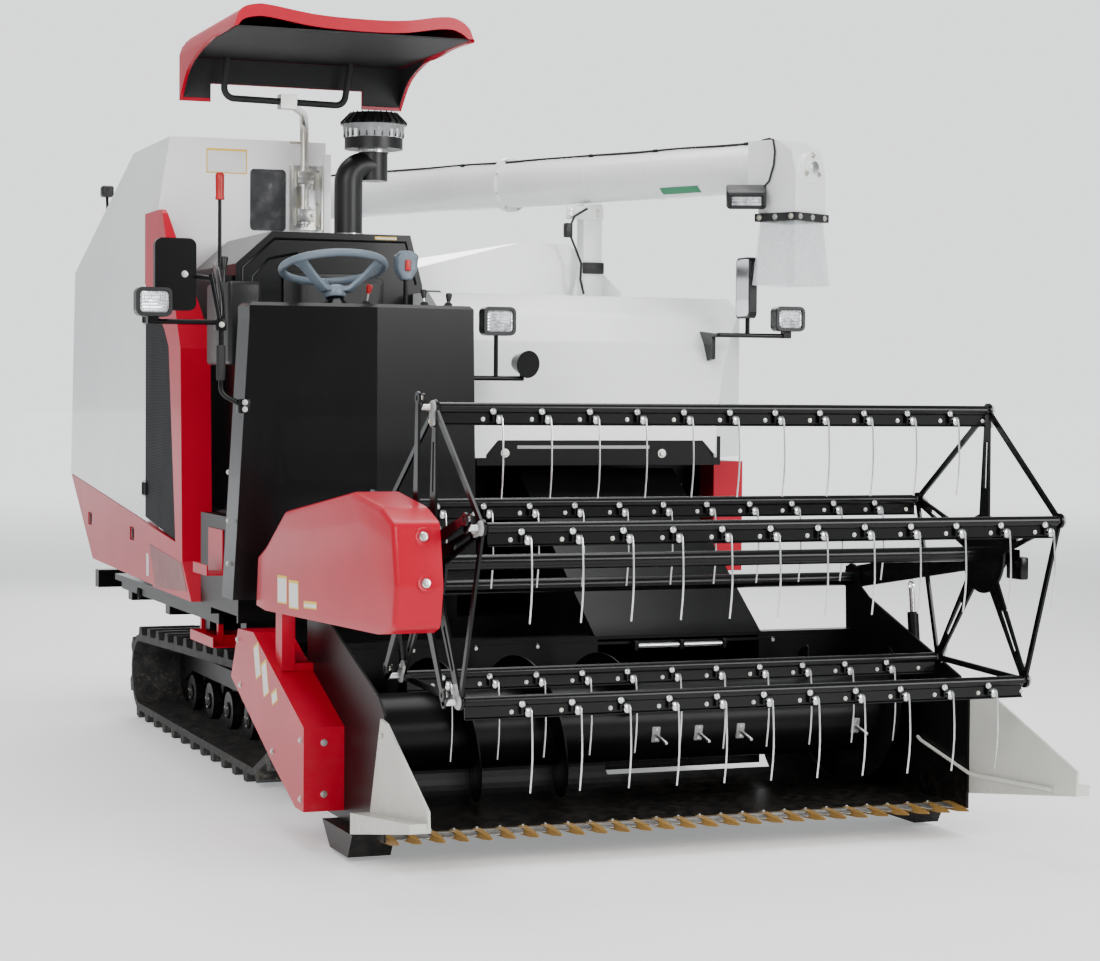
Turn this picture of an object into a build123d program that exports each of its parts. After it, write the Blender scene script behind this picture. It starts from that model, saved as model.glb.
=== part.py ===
from build123d import *
import os
from math import acos, atan2, cos, degrees, hypot, pi, radians, sin

# Tracked rice combine, millimetres. +Z is up and Z = 0 is the ground under the tracks.
# -Y is the way it drives, so -X is the operator's right-hand side.
# The origin is on the ground below the middle of the machine's overall box.
# Pairs such as (low, high) are limits along one axis.

# --- tracks and their gear -------------------------------------------------------
CHASSIS_X = 95
GAUGE = 1250
TRACK_WIDTH = 500
LUG_HEIGHT = 35
LUG_BASE = 72
LUG_TIP = 46
LUG_PITCH = 90
BELT = 30
RUN_GAP = 0.3
SPROCKET = (-560, 310, 180)
FRONT_WHEEL = (-250, 142, 142)
IDLER = (1790, 205, 205)
ROLLER_STATIONS = (-190, 150, 490, 830, 1170, 1500)
ROLLER_DISC = (35, 75)
ROLLER_AXLE_R = 30
IDLER_HALF_WIDTH = 32
IDLER_AXLE_R = 25
SPROCKET_TEETH = 11
SPROCKET_HALF_WIDTH = 22
CARRIER_Y = 640
CARRIER_R = 34
CARRIER_AXLE_R = 14
TRACK_BEAM_HALF = 50
TRACK_BEAM_Z = (225, 300)
TRACK_BEAM_Y = (-330, 1610)
IDLER_YOKE = ((1600, 300), (1600, 225), (1760, 165), (1830, 165), (1830, 245), (1760, 290))
WEB_HALF = 12

# --- chassis ---------------------------------------------------------------------
RAIL_OFFSET = 300
RAIL_HALF = 40
FRAME_Z = (560, 640)
FRAME_Y = (-600, 2250)
FRAME_X = (-890, 1080)
CROSS_STATIONS = (-560, 0, 700, 1450, 2210)
CROSS_HALF = 40
POST_STATIONS = (200, 1200)
SIDE_RAIL_X = (-930, -890)
SIDE_RAIL_Y = (-225, 1580)
SIDE_RAIL_Z = (640, 665)
LASH_HALF = 10
LASH_HOLE = (2285, 600)
LASH_R = 16
LASH_REACH = 35
TANK_LEG_HALF = 30
SIDE_RAIL_SKIRT = ((-900, -880), (600, 665))
GEARBOX_Y = (-700, -420)
GEARBOX_HALF = 230
GEARBOX_BOTTOM = 190
AXLE_TUBE_R = 60

# --- right-hand side: tank, covers, pillar and screen door -----------------------
SIDE_X = -940
PANEL = 18
TANK_INNER_X = -240
TANK_WALL = 20
TANK_FRONT = 680
TANK_OUTLINE = ((680, 912), (2601, 1075), (2499, 2015), (1446, 2487), (680, 2487))
FOLD_FRONT = (680, 2168)
FOLD_REAR = (2499, 2015)
TANK_LEAN = 51
WINDOW_X = (-559, -407)
WINDOW_Z = (2120, 2371)
WINDOW_CORNER = 18
WINDOW_INSET = 5
GLASS = 6
HATCH_X = (-800, -320)
HATCH_Y = (820, 1300)
LID = 14
AUGER_POCKET_X = (-480, TANK_INNER_X)
AUGER_POCKET = (1760, 2050)
TANK_LEGS = ((-640, 710), (-300, 1450), (-640, 1450), (-300, 2210), (-640, 2210))
DOOR_AXIS = (-960, 838)
DOOR_HINGES = (1040, 1740)
DOOR_PIN_R = 4
PILLAR_DEPTH = 95
PILLAR_X = (-962, SIDE_X)
SEAM = 3
DOOR_OUTLINE = ((832, 950), (832, 1900), (455, 1702), (382, 1630), (255, 884))
DOOR_X = (-954, -942)
DOOR_LEAF_Y = 790
HINGE_TALL = 50
HINGE_LUG = 6
LATCH_WELLS = ((2114, 881), (1167, 863))
LATCH_HALF = (45, 28)
PILLAR_OUTLINE = (
    (-43, 670), (115, 812), (154, 1626), (478, 2163), (520, 2181), (811, 2181),
    (811, 1900), (438, 1704), (362, 1636), (235, 880), (832, 930), (780, 853), (640, 676),
)
LOWER_COVER_OUTLINE = ((643, 674), (783, 853), (792, 917), (2590, 1070), (2050, 702))
UNDER_GAP = 3

# --- operator's station -----------------------------------------------------------
FLOOR_Z = (985, 1010)
FLOOR_X = (-930, -110)
FLOOR_Y = (-640, -60)
HOOD_Y = (-60, 640)
HOOD_OUTLINE = ((-800, 1010), (-800, 1945), (-660, 2070), (-111, 2070), (-61, 1875), (-61, 1010))
HOOD_WALL = 16
ENGINE_X = (-760, -120)
ENGINE_Y = (0, 600)
ENGINE_Z = (FRAME_Z[1], 1330)
COLUMN_Z = (737, 1716)
COLUMN_BACK = -640
# plan of the column, (x, y), at its foot and at its shoulder
COLUMN_FOOT = ((-989, COLUMN_BACK), (-989, -800), (-480, -842), (-92, -800), (-92, COLUMN_BACK))
COLUMN_HEAD = ((-934, COLUMN_BACK), (-934, -805), (-482, -842), (-110, -805), (-110, COLUMN_BACK))
COLUMN_RIM = 58
STAY_R = 9
DRIVE_LEVER = (-345, -735)
HAND_LEVER = (-847, 0)
HAND_LEVER_Z = (1890, 2200, 2280)
HAND_GRIP_R = 14
LEVER_TOP = 1890
LEVER_R = 8
GRIP_DEPTH = (-25, 23)
LEVER_GRIP = (
    (-37, 1952), (-33, 1900), (-15, 1868), (15, 1868), (33, 1900), (40, 1952), (15, 1965), (-17, 1965),
)
STAY_ROOTS = (((-930, -790, 1400), (-1030, -790, 1455)), ((-130, -780, 1517), (-60, -780, 1517)))
WHEEL_CENTRE = (-605, -705, 1905)
WHEEL_R = 182
WHEEL_RIM_R = 14
WHEEL_LEAN = 14
HUB_DROP = 92
STEERING_SHAFT_R = 15
SHAFT_LENGTH = 38
HUB_HALF = 18
SEAT_X = (-640, -230)
# side view of the seat, (y, z)
SEAT_OUTLINE = (
    (-500, 1330), (-505, 1400), (-470, 1430), (-140, 1405),
    (-75, 1880), (-95, 1925), (-62, 1925), (-62, 1330),
)

# --- intake -----------------------------------------------------------------------
INTAKE = (-255, 300)
INTAKE_R = 56
BOWL_X = -151
BOWL_R = 128
BOWL_STEM_R = 60
BOWL_Z = (2474, 2526)

# --- canopy -----------------------------------------------------------------------
CANOPY_Y = (-560, 330)
CANOPY_SKIN = 12
# front view of the canopy's outside, (x, z)
CANOPY_OUTLINE = (
    (-930, 2570), (-930, 2765), (-905, 2822), (-850, 2842), (-790, 2840), (-600, 2815),
    (-330, 2812), (-160, 2836), (-95, 2832), (-48, 2800), (-28, 2745), (-28, 2570),
)
CANOPY_REACH = (-940, -20)
CANOPY_FOOT = 2560
LINER_Z = (2758, 2764)
CANOPY_TUBE_R = 13
TUBE_BEND = 40
POST_X = -345
POST_Y = 632

# --- steps ------------------------------------------------------------------------
STEP_X = (-940, -790)
STEP_Y = (-300, 70)
STEP_Z = 520
STEP_LIP = 38
SMALL_STEP_Y = (-420, -200)
SMALL_STEP_Z = 795

# --- tank's front bracket, canopy post and tube ------------------------------------
TANK_FLANGE_X = (-250, -220)
TANK_FLANGE_Z = (2070, 2440)
BRACKET_X = (-397, -265)
BRACKET_Z = (2128, 2391)
POST_R = 18
POST_GRIP = (-520, 250, 2596)
FRAME_TUBE = ((-760, 250, 2758), (-775, 250, 2600), (-290, 250, 2592), (-262, 250, 2758))
# side view of the canopy's outside, (y, z)
CANOPY_SIDE = (
    (-560, 2762), (-560, 2850), (230, 2850), (330, 2800), (330, 2590), (200, 2690), (0, 2740), (-300, 2765),
)
CANOPY_ARCH = (-808, -195, 2560, 2660)

# --- thresher and its covers --------------------------------------------------------
THRESHER_X = (-55, 1090)
THRESHER_Y = (-200, 2350)
THRESHER_Z = (FRAME_Z[1], 1833)
COVER_X = (-100, 1150)
COVER_SKIN = 12
# side view of the front cover's outside, (y, z)
COVER_PROFILE = ((-605, 1225), (-585, 1400), (-545, 1530), (-480, 1660), (-390, 1770), (-255, 1845))
COVER_CORNER = ((939, -605), (1150, -365))
COVER_ARCH = ((11, 1200), (11, 1236), (60, 1290), (890, 1290), (939, 1236), (939, 1200))
COVER_TAIL = 195
COVER_ROUND = 60
HUMP = ((-55, 1833), (-55, 1860), (0, 1960), (430, 2072), (640, 2072), (760, 1990), (880, 1880), (880, 1833))
HUMP_Y = (195, 1900)
SIDE_COVER_X = (1090, 1150)
WHITE_SIDE_Z = (1215, 1830)
RED_SIDE_Z = (776, 1205)
SIDE_COVER_Y = (-30, 2350)
HOOD_TAIL = ((2350, 900), (2350, 1500), (2500, 1480), (2630, 1350), (2660, 1200), (2660, 1080), (2500, 900))
TAIL_WALL = 10

# --- unloading auger ----------------------------------------------------------------
SWING_AXIS = (-310, 2145)
SWING_Z = (2093, 2228)
SWING_GAP = 5
BASE_FLANGE_R = 105
SPIGOT_R = 60
SPIGOT_TALL = 40
TURRET_R = 110
PIPE_Z = 2333
PIPE_R = 95
PIPE_WALL = 5
PIPE_END = (1240, -830)
PIPE_FLANGE = 1797
LIFT_PIN_R = 20
FIT = 0.06
EAR = (100, 115)
# side view of the elbow, (along the pipe, z)
ELBOW = (
    (3110, 2240), (3110, 2426), (3240, 2426), (3310, 2385),
    (3332, 2300), (3332, 2150), (3160, 2150), (3160, 2240),
)
ELBOW_SHEET = 8
ELBOW_HALF = 97
SPOUT_Z = (1880, 2140)
BAND_LOW = 2120
REST = (722, 163)
REST_HALF = 40
UNLOADER_RAM = ((150, 2125), (480, 2206))

# --- header -------------------------------------------------------------------------
HEADER_PIVOT = (-450, 1000)
HEADER_PIN_R = 25
RIGHT_PLATE = (-826, -818)
LEFT_PLATE = (1203, 1211)
REEL_PIVOT = (-1220, 800)
REEL_TUBE_R = 25
# side view of the end plates, (y, z)
END_PLATE = (
    (-2052, 92), (-2052, 480), (-1990, 530), (-1345, 745), (-1265, 790), (-1265, 845),
    (-1175, 845), (-1175, 790), (-1183, 600), (-1183, 160), (-1300, 92),
)
TROUGH = (-1500, 350)
TROUGH_R = (252, 257)
PAN_Z = (92, 97)
BACK_Y = (-1248, -1243)
FEEDER_X = (190, 830)
FEEDER = ((-1243, 150), (-450, 780), (-450, 1180), (-1243, 620))
FEEDER_WALL = 12
AUGER_DRUM_R = 130
AUGER_R = 240
AUGER_X = (-795, 1190)
FLIGHT_PITCH = 300
FLIGHT_ROOT = 4
FLIGHT_SHEET = 5
GUARD_PITCH = 76.2
GUARD_COUNT = 27
GUARD_FIRST = -798.7
BAR_Y = (-1990, -1930)
BAR_Z = (88, 96)
GUARD_TIP = (-2105, 93)
DRIVE_COVER_X = (-960, -826)
DRIVE_COVER = ((-761, 634), (-974, 640), (-1625, 395), (-1625, 125), (-1526, 126), (-1221, 235), (-662, 456))
DRIVE_WALL = 10
RED_POST = (-935, -890)
DIVIDER_RIGHT = ((-1911, 99), (-2040, 470), (-2100, 462), (-2500, 260), (-2509, 198))
DIVIDER_LEFT = ((-2010, 452), (-2211, 477), (-2697, 305), (-2690, 228), (-2010, 137))
DIVIDER_SHEET = 8
RAM_BASE = (-400, 470)
RAM_EYE = (-1050, 270)
RAM_X = (370, 430)
RAM_EARS = ((355, 365), (435, 445))
RAM_PIN_R = 14
EYE_EAR = ((-26, -22), (26, -22), (45, 75), (-45, 3))

# --- reel and its arms ----------------------------------------------------------------
REEL_HUB = (-2163, 949)
REEL_R = 468
REEL_PHASE = 92
BAT_COUNT = 5
SHAFT_R = 24
ARM_RIGHT = (-880, -860)
ARM_LEFT = (1216, 1236)
SPIDERS = ((-715, -707), (1184, 1192))
SPIDER_HUB_R = 130
BAT_X = (-702, 1179)
BAT_R = 16
STUB_R = 10
CRANK_X = (-765, -759)
RING_X = (-782, -774)
CRANK_PIN_R = 8
ECCENTRIC = (-40, 28)
ECCENTRIC_R = 90
TINE_PITCH = 157
TINE_FIRST = (-521, -589, -513, -575, -545)
TINE_REACH = 240
REEL_COVER_X = (-950, -808)
REEL_COVER = (
    (-962, 735), (-985, 905), (-1095, 945), (-1335, 1072), (-2115, 1165), (-2400, 1130),
    (-2520, 1090), (-2555, 912), (-2530, 790), (-2470, 770), (-2385, 762), (-1100, 725),
)
REEL_COVER_WALL = 10
REEL_RAM = ((-1640, 400), (-1587, 800))
REEL_RAM_X = (1241, 1249)


def oblong(across, up):
    """Four corners of a rectangle between two pairs of limits."""
    return [(across[0], up[0]), (across[1], up[0]), (across[1], up[1]), (across[0], up[1])]


def mid(limits):
    """Halfway between a pair of limits."""
    return (limits[0] + limits[1]) / 2


def slab(x, y, z, mode=Mode.ADD):
    """Add or cut a block between limits along X, Y and Z."""
    with Locations((mid(x), mid(y), mid(z))):
        Box(abs(x[1] - x[0]), abs(y[1] - y[0]), abs(z[1] - z[0]), mode=mode)


def face(plane, points, radius=0):
    """Closed face through points drawn on a plane, with its corners rounded if asked."""
    with BuildSketch(plane) as sketch:
        with BuildLine():
            if radius:
                FilletPolyline(*points, radius=radius, close=True)
            else:
                Polyline(*points, close=True)
        make_face()
    return sketch.sketch


def side_plate(points, x, radius=0, mode=Mode.ADD):
    """Extrude a side-view outline of (Y, Z) points between two X limits."""
    extrude(face(Plane.YZ.offset(x[0]), points, radius), amount=x[1] - x[0], mode=mode)


def front_plate(points, y, radius=0, mode=Mode.ADD):
    """Extrude a front-view outline of (X, Z) points between two Y limits."""
    extrude(face(Plane.XZ.offset(-y[0]), points, radius), amount=-(y[1] - y[0]), mode=mode)


def floor_plate(points, z, radius=0, mode=Mode.ADD):
    """Extrude a plan outline of (X, Y) points between two Z limits."""
    extrude(face(Plane.XY.offset(z[0]), points, radius), amount=z[1] - z[0], mode=mode)


def bar(start, end, radius, mode=Mode.ADD):
    """Round bar, or bore, from one point to another."""
    reach = Vector(*end) - Vector(*start)
    with BuildSketch(Plane(origin=start, z_dir=reach)) as section:
        Circle(radius)
    extrude(section.sketch, amount=reach.length, mode=mode)


def drum(x, y, z, radius, mode=Mode.ADD):
    """Round bar along X between two limits."""
    bar((x[0], y, z), (x[1], y, z), radius, mode)


def bent_tube(points, bend, radius):
    """Round tube along straight runs joined by tangent bends."""
    with BuildLine() as path:
        FilletPolyline(*points, radius=bend)
    with BuildSketch(Plane(origin=path.line @ 0, z_dir=path.line % 0)) as section:
        Circle(radius)
    sweep(section.sketch, path=path.line)


def save(part, name):
    """Label a finished piece and write it."""
    part.label = name
    export_step(part, f"parts/{name}.step")


os.makedirs("parts", exist_ok=True)


# === undercarriage =================================================================
def belt_runs(wheels):
    """Round and straight runs of a loop round wheels (y, z, radius), anticlockwise."""
    normals = []
    for (y1, z1, r1), (y2, z2, r2) in zip(wheels, wheels[1:] + wheels[:1]):
        reach = hypot(y2 - y1, z2 - z1)
        normals.append(atan2(z2 - z1, y2 - y1) - acos((r1 - r2) / reach))
    runs = []
    for index, (y, z, r) in enumerate(wheels):
        start = normals[index - 1]
        turn = (normals[index] - start) % (2 * pi)
        runs.append(("round", (y, z, r, start), turn * r))
        y2, z2, r2 = wheels[(index + 1) % len(wheels)]
        n = normals[index]
        a = (y + r * cos(n), z + r * sin(n))
        b = (y2 + r2 * cos(n), z2 + r2 * sin(n))
        runs.append(("straight", (a, b, n), hypot(b[0] - a[0], b[1] - a[1])))
    return runs


def belt_point(runs, distance, lift):
    """Point at a distance along the loop, lifted outwards from it."""
    distance %= sum(length for _, _, length in runs)
    for kind, data, length in runs:
        if distance <= length:
            break
        distance -= length
    if kind == "round":
        y, z, r, start = data
        angle = start + distance / r
        return (y + (r + lift) * cos(angle), z + (r + lift) * sin(angle))
    (ay, az), (by, bz), n = data
    share = distance / length
    return (ay + (by - ay) * share + lift * cos(n), az + (bz - az) * share + lift * sin(n))


WHEELS = [SPROCKET, FRONT_WHEEL, IDLER]
belt_outer = belt_runs([(y, z, r - LUG_HEIGHT) for y, z, r in WHEELS])
loop_length = sum(length for _, _, length in belt_outer)
lug_count = 2 * round(loop_length / LUG_PITCH / 2)
lug_step = loop_length / lug_count
# along the belt from the lug's middle, lift above the belt
LUG_OUTLINE = ((-LUG_BASE / 2, 0), (-LUG_TIP / 2, LUG_HEIGHT), (LUG_TIP / 2, LUG_HEIGHT), (LUG_BASE / 2, 0))


def lugged_outline(first):
    """Track outline with a lug at every second step, from the first one."""
    points = []
    for index in range(first, lug_count, 2):
        for along, lift in LUG_OUTLINE:
            points.append(belt_point(belt_outer, index * lug_step + along, lift))
        points.append(belt_point(belt_outer, (index + 1) * lug_step, 0))
    return points


inner_wheels = [(y, z, r - LUG_HEIGHT - BELT) for y, z, r in WHEELS]
roller_r = FRONT_WHEEL[2] - LUG_HEIGHT - BELT - RUN_GAP
roller_z = FRONT_WHEEL[1]
idler_r = IDLER[2] - LUG_HEIGHT - BELT - RUN_GAP
sprocket_r = SPROCKET[2] - LUG_HEIGHT - BELT - RUN_GAP
top_runs = belt_runs(inner_wheels)
carrier_share = (IDLER[0] - CARRIER_Y) / (IDLER[0] - SPROCKET[0])
carrier_roof = (IDLER[1] + idler_r) * (1 - carrier_share) + (SPROCKET[1] + sprocket_r) * carrier_share
carrier_z = carrier_roof - CARRIER_R - 1

for side, hand in (("right", -1), ("left", 1)):
    track_x = CHASSIS_X + hand * GAUGE / 2

    with BuildPart() as track:
        for first, x in ((0, (-TRACK_WIDTH / 2, 0)), (1, (0, TRACK_WIDTH / 2))):
            side_plate(lugged_outline(first), (track_x + x[0], track_x + x[1]))
        with BuildSketch(Plane.YZ.offset(track_x - TRACK_WIDTH / 2)):
            with BuildLine():
                for kind, data, length in belt_runs(inner_wheels):
                    if kind == "round":
                        CenterArc(data[:2], data[2], degrees(data[3]), degrees(length / data[2]))
                    else:
                        Line(data[0], data[1])
            make_face()
        extrude(amount=TRACK_WIDTH, mode=Mode.SUBTRACT)
    save(track.part, f"track_{side}")

    with BuildPart() as rollers:
        for y in ROLLER_STATIONS:
            for sign in (-1, 1):
                disc = sorted((track_x + sign * ROLLER_DISC[0], track_x + sign * ROLLER_DISC[1]))
                drum(disc, y, roller_z, roller_r)
            drum((track_x - ROLLER_DISC[0], track_x + ROLLER_DISC[0]), y, roller_z, ROLLER_AXLE_R)
        for sign in (-1, 1):
            disc = sorted((track_x + sign * (WEB_HALF + 5), track_x + sign * ROLLER_DISC[1]))
            drum(disc, CARRIER_Y, carrier_z, CARRIER_R)
        drum((track_x - WEB_HALF - 5, track_x + WEB_HALF + 5), CARRIER_Y, carrier_z, CARRIER_AXLE_R)
        drum((track_x - IDLER_HALF_WIDTH, track_x + IDLER_HALF_WIDTH), IDLER[0], IDLER[1], idler_r)
        idler_arm = IDLER_HALF_WIDTH + 20
        drum((track_x - idler_arm, track_x + idler_arm), IDLER[0], IDLER[1], IDLER_AXLE_R)

    with BuildPart() as track_frame:
        slab((track_x - TRACK_BEAM_HALF, track_x + TRACK_BEAM_HALF), TRACK_BEAM_Y, TRACK_BEAM_Z)
        web = (track_x - WEB_HALF, track_x + WEB_HALF)
        for y in ROLLER_STATIONS:
            slab(web, (y - 50, y + 50), (roller_z - 42, TRACK_BEAM_Z[0]))
            drum(web, y, roller_z, ROLLER_AXLE_R, Mode.SUBTRACT)
        slab(web, (CARRIER_Y - 30, CARRIER_Y + 30), (TRACK_BEAM_Z[1], carrier_z + 20))
        drum(web, CARRIER_Y, carrier_z, CARRIER_AXLE_R, Mode.SUBTRACT)
        for sign in (-1, 1):
            yoke = sorted((track_x + sign * (IDLER_HALF_WIDTH + 3), track_x + sign * TRACK_BEAM_HALF))
            side_plate(IDLER_YOKE, yoke)
            drum(yoke, IDLER[0], IDLER[1], IDLER_AXLE_R, Mode.SUBTRACT)
        add(rollers.part)
    save(track_frame.part, f"track_frame_{side}")

frame_half = GAUGE / 2 - TRACK_BEAM_HALF
with BuildPart() as chassis:
    for sign in (-1, 1):
        rail = CHASSIS_X + sign * RAIL_OFFSET
        slab((rail - RAIL_HALF, rail + RAIL_HALF), FRAME_Y, FRAME_Z)
        for y in POST_STATIONS:
            slab((rail - RAIL_HALF, rail + RAIL_HALF), (y - 40, y + 40), (TRACK_BEAM_Z[0], FRAME_Z[0]))
    for y in POST_STATIONS:
        slab((CHASSIS_X - frame_half, CHASSIS_X + frame_half), (y - 45, y + 45), TRACK_BEAM_Z)
    for y in CROSS_STATIONS:
        slab(FRAME_X, (y - CROSS_HALF, y + CROSS_HALF), FRAME_Z)
    for sign in (-1, 1):
        rail = CHASSIS_X + sign * RAIL_OFFSET
        eye_x = (rail - LASH_HALF, rail + LASH_HALF)
        eye_z = (LASH_HOLE[1] - LASH_REACH, LASH_HOLE[1] + LASH_REACH)
        slab(eye_x, (FRAME_Y[1], LASH_HOLE[0] + LASH_REACH), eye_z)
        drum(eye_x, *LASH_HOLE, LASH_R, Mode.SUBTRACT)
    (ground_y, ground_z), (far_y, far_z) = TANK_OUTLINE[:2]
    rise = (far_z - ground_z) / (far_y - ground_y)
    for x, y in TANK_LEGS:
        start, end = y - TANK_LEG_HALF, y + TANK_LEG_HALF
        leg = [(start, FRAME_Z[1]), (end, FRAME_Z[1])]
        leg += [(end, ground_z + (end - ground_y) * rise), (start, ground_z + (start - ground_y) * rise)]
        side_plate(leg, (x - TANK_LEG_HALF, x + TANK_LEG_HALF))
    for x in RAM_EARS:
        slab(x, (RAM_BASE[0] - 30, RAM_BASE[0] + 30), (RAM_BASE[1] - 30, FRAME_Z[0] + 40))
    drum((RAM_EARS[0][0], RAM_EARS[1][1]), *RAM_BASE, RAM_PIN_R)
    slab(SIDE_RAIL_X, SIDE_RAIL_Y, SIDE_RAIL_Z)
    slab(SIDE_RAIL_SKIRT[0], SIDE_RAIL_Y, SIDE_RAIL_SKIRT[1])
save(chassis.part, "chassis_frame")

sprocket_y, sprocket_z = SPROCKET[:2]
with BuildPart() as gearbox:
    gear_outline = (
        (GEARBOX_Y[0] + 60, FRAME_Z[0]),
        (GEARBOX_Y[0], FRAME_Z[0] - 110),
        (GEARBOX_Y[0], GEARBOX_BOTTOM + 60),
        (GEARBOX_Y[0] + 70, GEARBOX_BOTTOM),
        (GEARBOX_Y[1] - 60, GEARBOX_BOTTOM),
        (GEARBOX_Y[1], GEARBOX_BOTTOM + 80),
        (GEARBOX_Y[1], FRAME_Z[0]),
    )
    side_plate(gear_outline, (CHASSIS_X - GEARBOX_HALF, CHASSIS_X + GEARBOX_HALF))
    for sign in (-1, 1):
        tube_x = sorted((CHASSIS_X + sign * GEARBOX_HALF, CHASSIS_X + sign * (GAUGE / 2 - 90)))
        drum(tube_x, sprocket_y, sprocket_z, AXLE_TUBE_R)
        track_x = CHASSIS_X + sign * GAUGE / 2
        drum(sorted((track_x, track_x - sign * 90)), sprocket_y, sprocket_z, AXLE_TUBE_R)
        with BuildSketch(Plane.YZ.offset(track_x - SPROCKET_HALF_WIDTH)):
            with Locations(SPROCKET[:2]):
                Circle(sprocket_r)
                with PolarLocations(sprocket_r, SPROCKET_TEETH):
                    Circle(17, mode=Mode.SUBTRACT)
        extrude(amount=2 * SPROCKET_HALF_WIDTH)
save(gearbox.part, "transmission")


# === right-hand side ================================================================
def tank_lean_plane(inset):
    """Plane of the tank's leaning upper side, moved inwards by an inset."""
    along = Vector(0, FOLD_REAR[0] - FOLD_FRONT[0], FOLD_REAR[1] - FOLD_FRONT[1])
    up = Vector(TANK_LEAN, 0, TANK_OUTLINE[4][1] - FOLD_FRONT[1])
    normal = along.cross(up).normalized()
    start = Vector(SIDE_X, *FOLD_FRONT) + Vector(inset, 0, 0)
    return Plane(origin=start, x_dir=along, z_dir=normal)


tank_top = TANK_OUTLINE[4][1]
tank_rear = TANK_OUTLINE[1][0]
with BuildPart() as tank_room:
    with BuildSketch(Plane.YZ.offset(SIDE_X + TANK_WALL)):
        with BuildLine():
            Polyline(*TANK_OUTLINE, close=True)
        make_face()
        offset(amount=-TANK_WALL, kind=Kind.INTERSECTION)
    extrude(amount=TANK_INNER_X - SIDE_X - 2 * TANK_WALL)
    split(bisect_by=tank_lean_plane(TANK_WALL), keep=Keep.TOP)
    pocket_x = (AUGER_POCKET_X[0] - TANK_WALL, AUGER_POCKET_X[1])
    pocket_y = (AUGER_POCKET[0] - TANK_WALL, tank_rear)
    slab(pocket_x, pocket_y, (AUGER_POCKET[1] - TANK_WALL, tank_top), Mode.SUBTRACT)

with BuildPart() as tank:
    side_plate(TANK_OUTLINE, (SIDE_X, TANK_INNER_X))
    split(bisect_by=tank_lean_plane(0), keep=Keep.TOP)
    slab(AUGER_POCKET_X, (AUGER_POCKET[0], tank_rear), (AUGER_POCKET[1], tank_top), Mode.SUBTRACT)
    add(tank_room.part, mode=Mode.SUBTRACT)
    slab(HATCH_X, HATCH_Y, (tank_top - 2 * TANK_WALL, tank_top + 10), Mode.SUBTRACT)
    window = oblong(WINDOW_X, WINDOW_Z)
    front_plate(window, (TANK_FRONT - 5, TANK_FRONT + TANK_WALL), WINDOW_CORNER, Mode.SUBTRACT)
    slab(TANK_FLANGE_X, (TANK_FRONT - 8, TANK_FRONT), TANK_FLANGE_Z)
    axis_x, axis_y = DOOR_AXIS
    for z in DOOR_HINGES:
        for low in (z - HINGE_LUG - 2, z + HINGE_TALL + 2):
            slab((axis_x - 6, SIDE_X), (axis_y - 3, axis_y + 12), (low, low + HINGE_LUG))
        pin_low, pin_high = z - HINGE_LUG - 2, z + HINGE_TALL + HINGE_LUG + 2
        bar((axis_x, axis_y + 1, pin_low), (axis_x, axis_y + 1, pin_high), DOOR_PIN_R)
save(tank.part, "grain_tank")

with BuildPart() as unloader_base:
    base_x, base_y = SWING_AXIS
    bar((base_x, base_y, AUGER_POCKET[1]), (base_x, base_y, SWING_Z[0] - SWING_GAP), BASE_FLANGE_R)
    bar((base_x, base_y, AUGER_POCKET[1]), (base_x, base_y, SWING_Z[0] + SPIGOT_TALL), SPIGOT_R)
save(unloader_base.part, "unloader_base")

with BuildPart() as tank_window:
    pane_x = (WINDOW_X[0] + RUN_GAP, WINDOW_X[1] - RUN_GAP)
    pane_z = (WINDOW_Z[0] + RUN_GAP, WINDOW_Z[1] - RUN_GAP)
    pane_y = (TANK_FRONT + WINDOW_INSET, TANK_FRONT + WINDOW_INSET + GLASS)
    front_plate(oblong(pane_x, pane_z), pane_y, WINDOW_CORNER - RUN_GAP)
save(tank_window.part, "tank_window")

HATCH_LAP = 25
with BuildPart() as tank_lid:
    slab(
        (HATCH_X[0] - HATCH_LAP, HATCH_X[1] + HATCH_LAP),
        (HATCH_Y[0] - HATCH_LAP, HATCH_Y[1] + HATCH_LAP),
        (tank_top, tank_top + LID),
    )
    drum((HATCH_X[0] + 40, HATCH_X[1] - 40), HATCH_Y[1] + HATCH_LAP, tank_top + LID, 9)
save(tank_lid.part, "tank_lid")

with BuildPart() as lower_cover:
    side_plate(LOWER_COVER_OUTLINE, (SIDE_X, SIDE_X + PANEL))
    for y, z in LATCH_WELLS:
        well_y = (y - LATCH_HALF[0], y + LATCH_HALF[0])
        slab((SIDE_X - 1, SIDE_X + 8), well_y, (z - LATCH_HALF[1], z + LATCH_HALF[1]), Mode.SUBTRACT)
save(lower_cover.part, "side_cover_rear")

with BuildPart() as pillar:
    side_plate(PILLAR_OUTLINE, PILLAR_X)
    edge = PILLAR_OUTLINE[:4]
    flank = edge + tuple((y + PANEL, z) for y, z in edge[::-1])
    side_plate(flank, (PILLAR_X[0], PILLAR_X[1] + PILLAR_DEPTH))
    corner = ((PILLAR_X[1], 2163), (PILLAR_X[1] + PILLAR_DEPTH, 2163), (PILLAR_X[1] + PILLAR_DEPTH, 1700))
    front_plate(corner, (150, 560), 0, Mode.SUBTRACT)
save(pillar.part, "side_pillar")

with BuildPart() as screen_door:
    side_plate(DOOR_OUTLINE, DOOR_X)
    for z in DOOR_HINGES:
        slab((axis_x - 3, DOOR_X[0]), (DOOR_LEAF_Y, axis_y), (z, z + HINGE_TALL))
        knuckle = ((axis_x, axis_y + 1, z), (axis_x, axis_y + 1, z + HINGE_TALL))
        bar(*knuckle, DOOR_PIN_R + 4)
        bar(*knuckle, DOOR_PIN_R + FIT, Mode.SUBTRACT)
save(screen_door.part, "screen_door")

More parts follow.
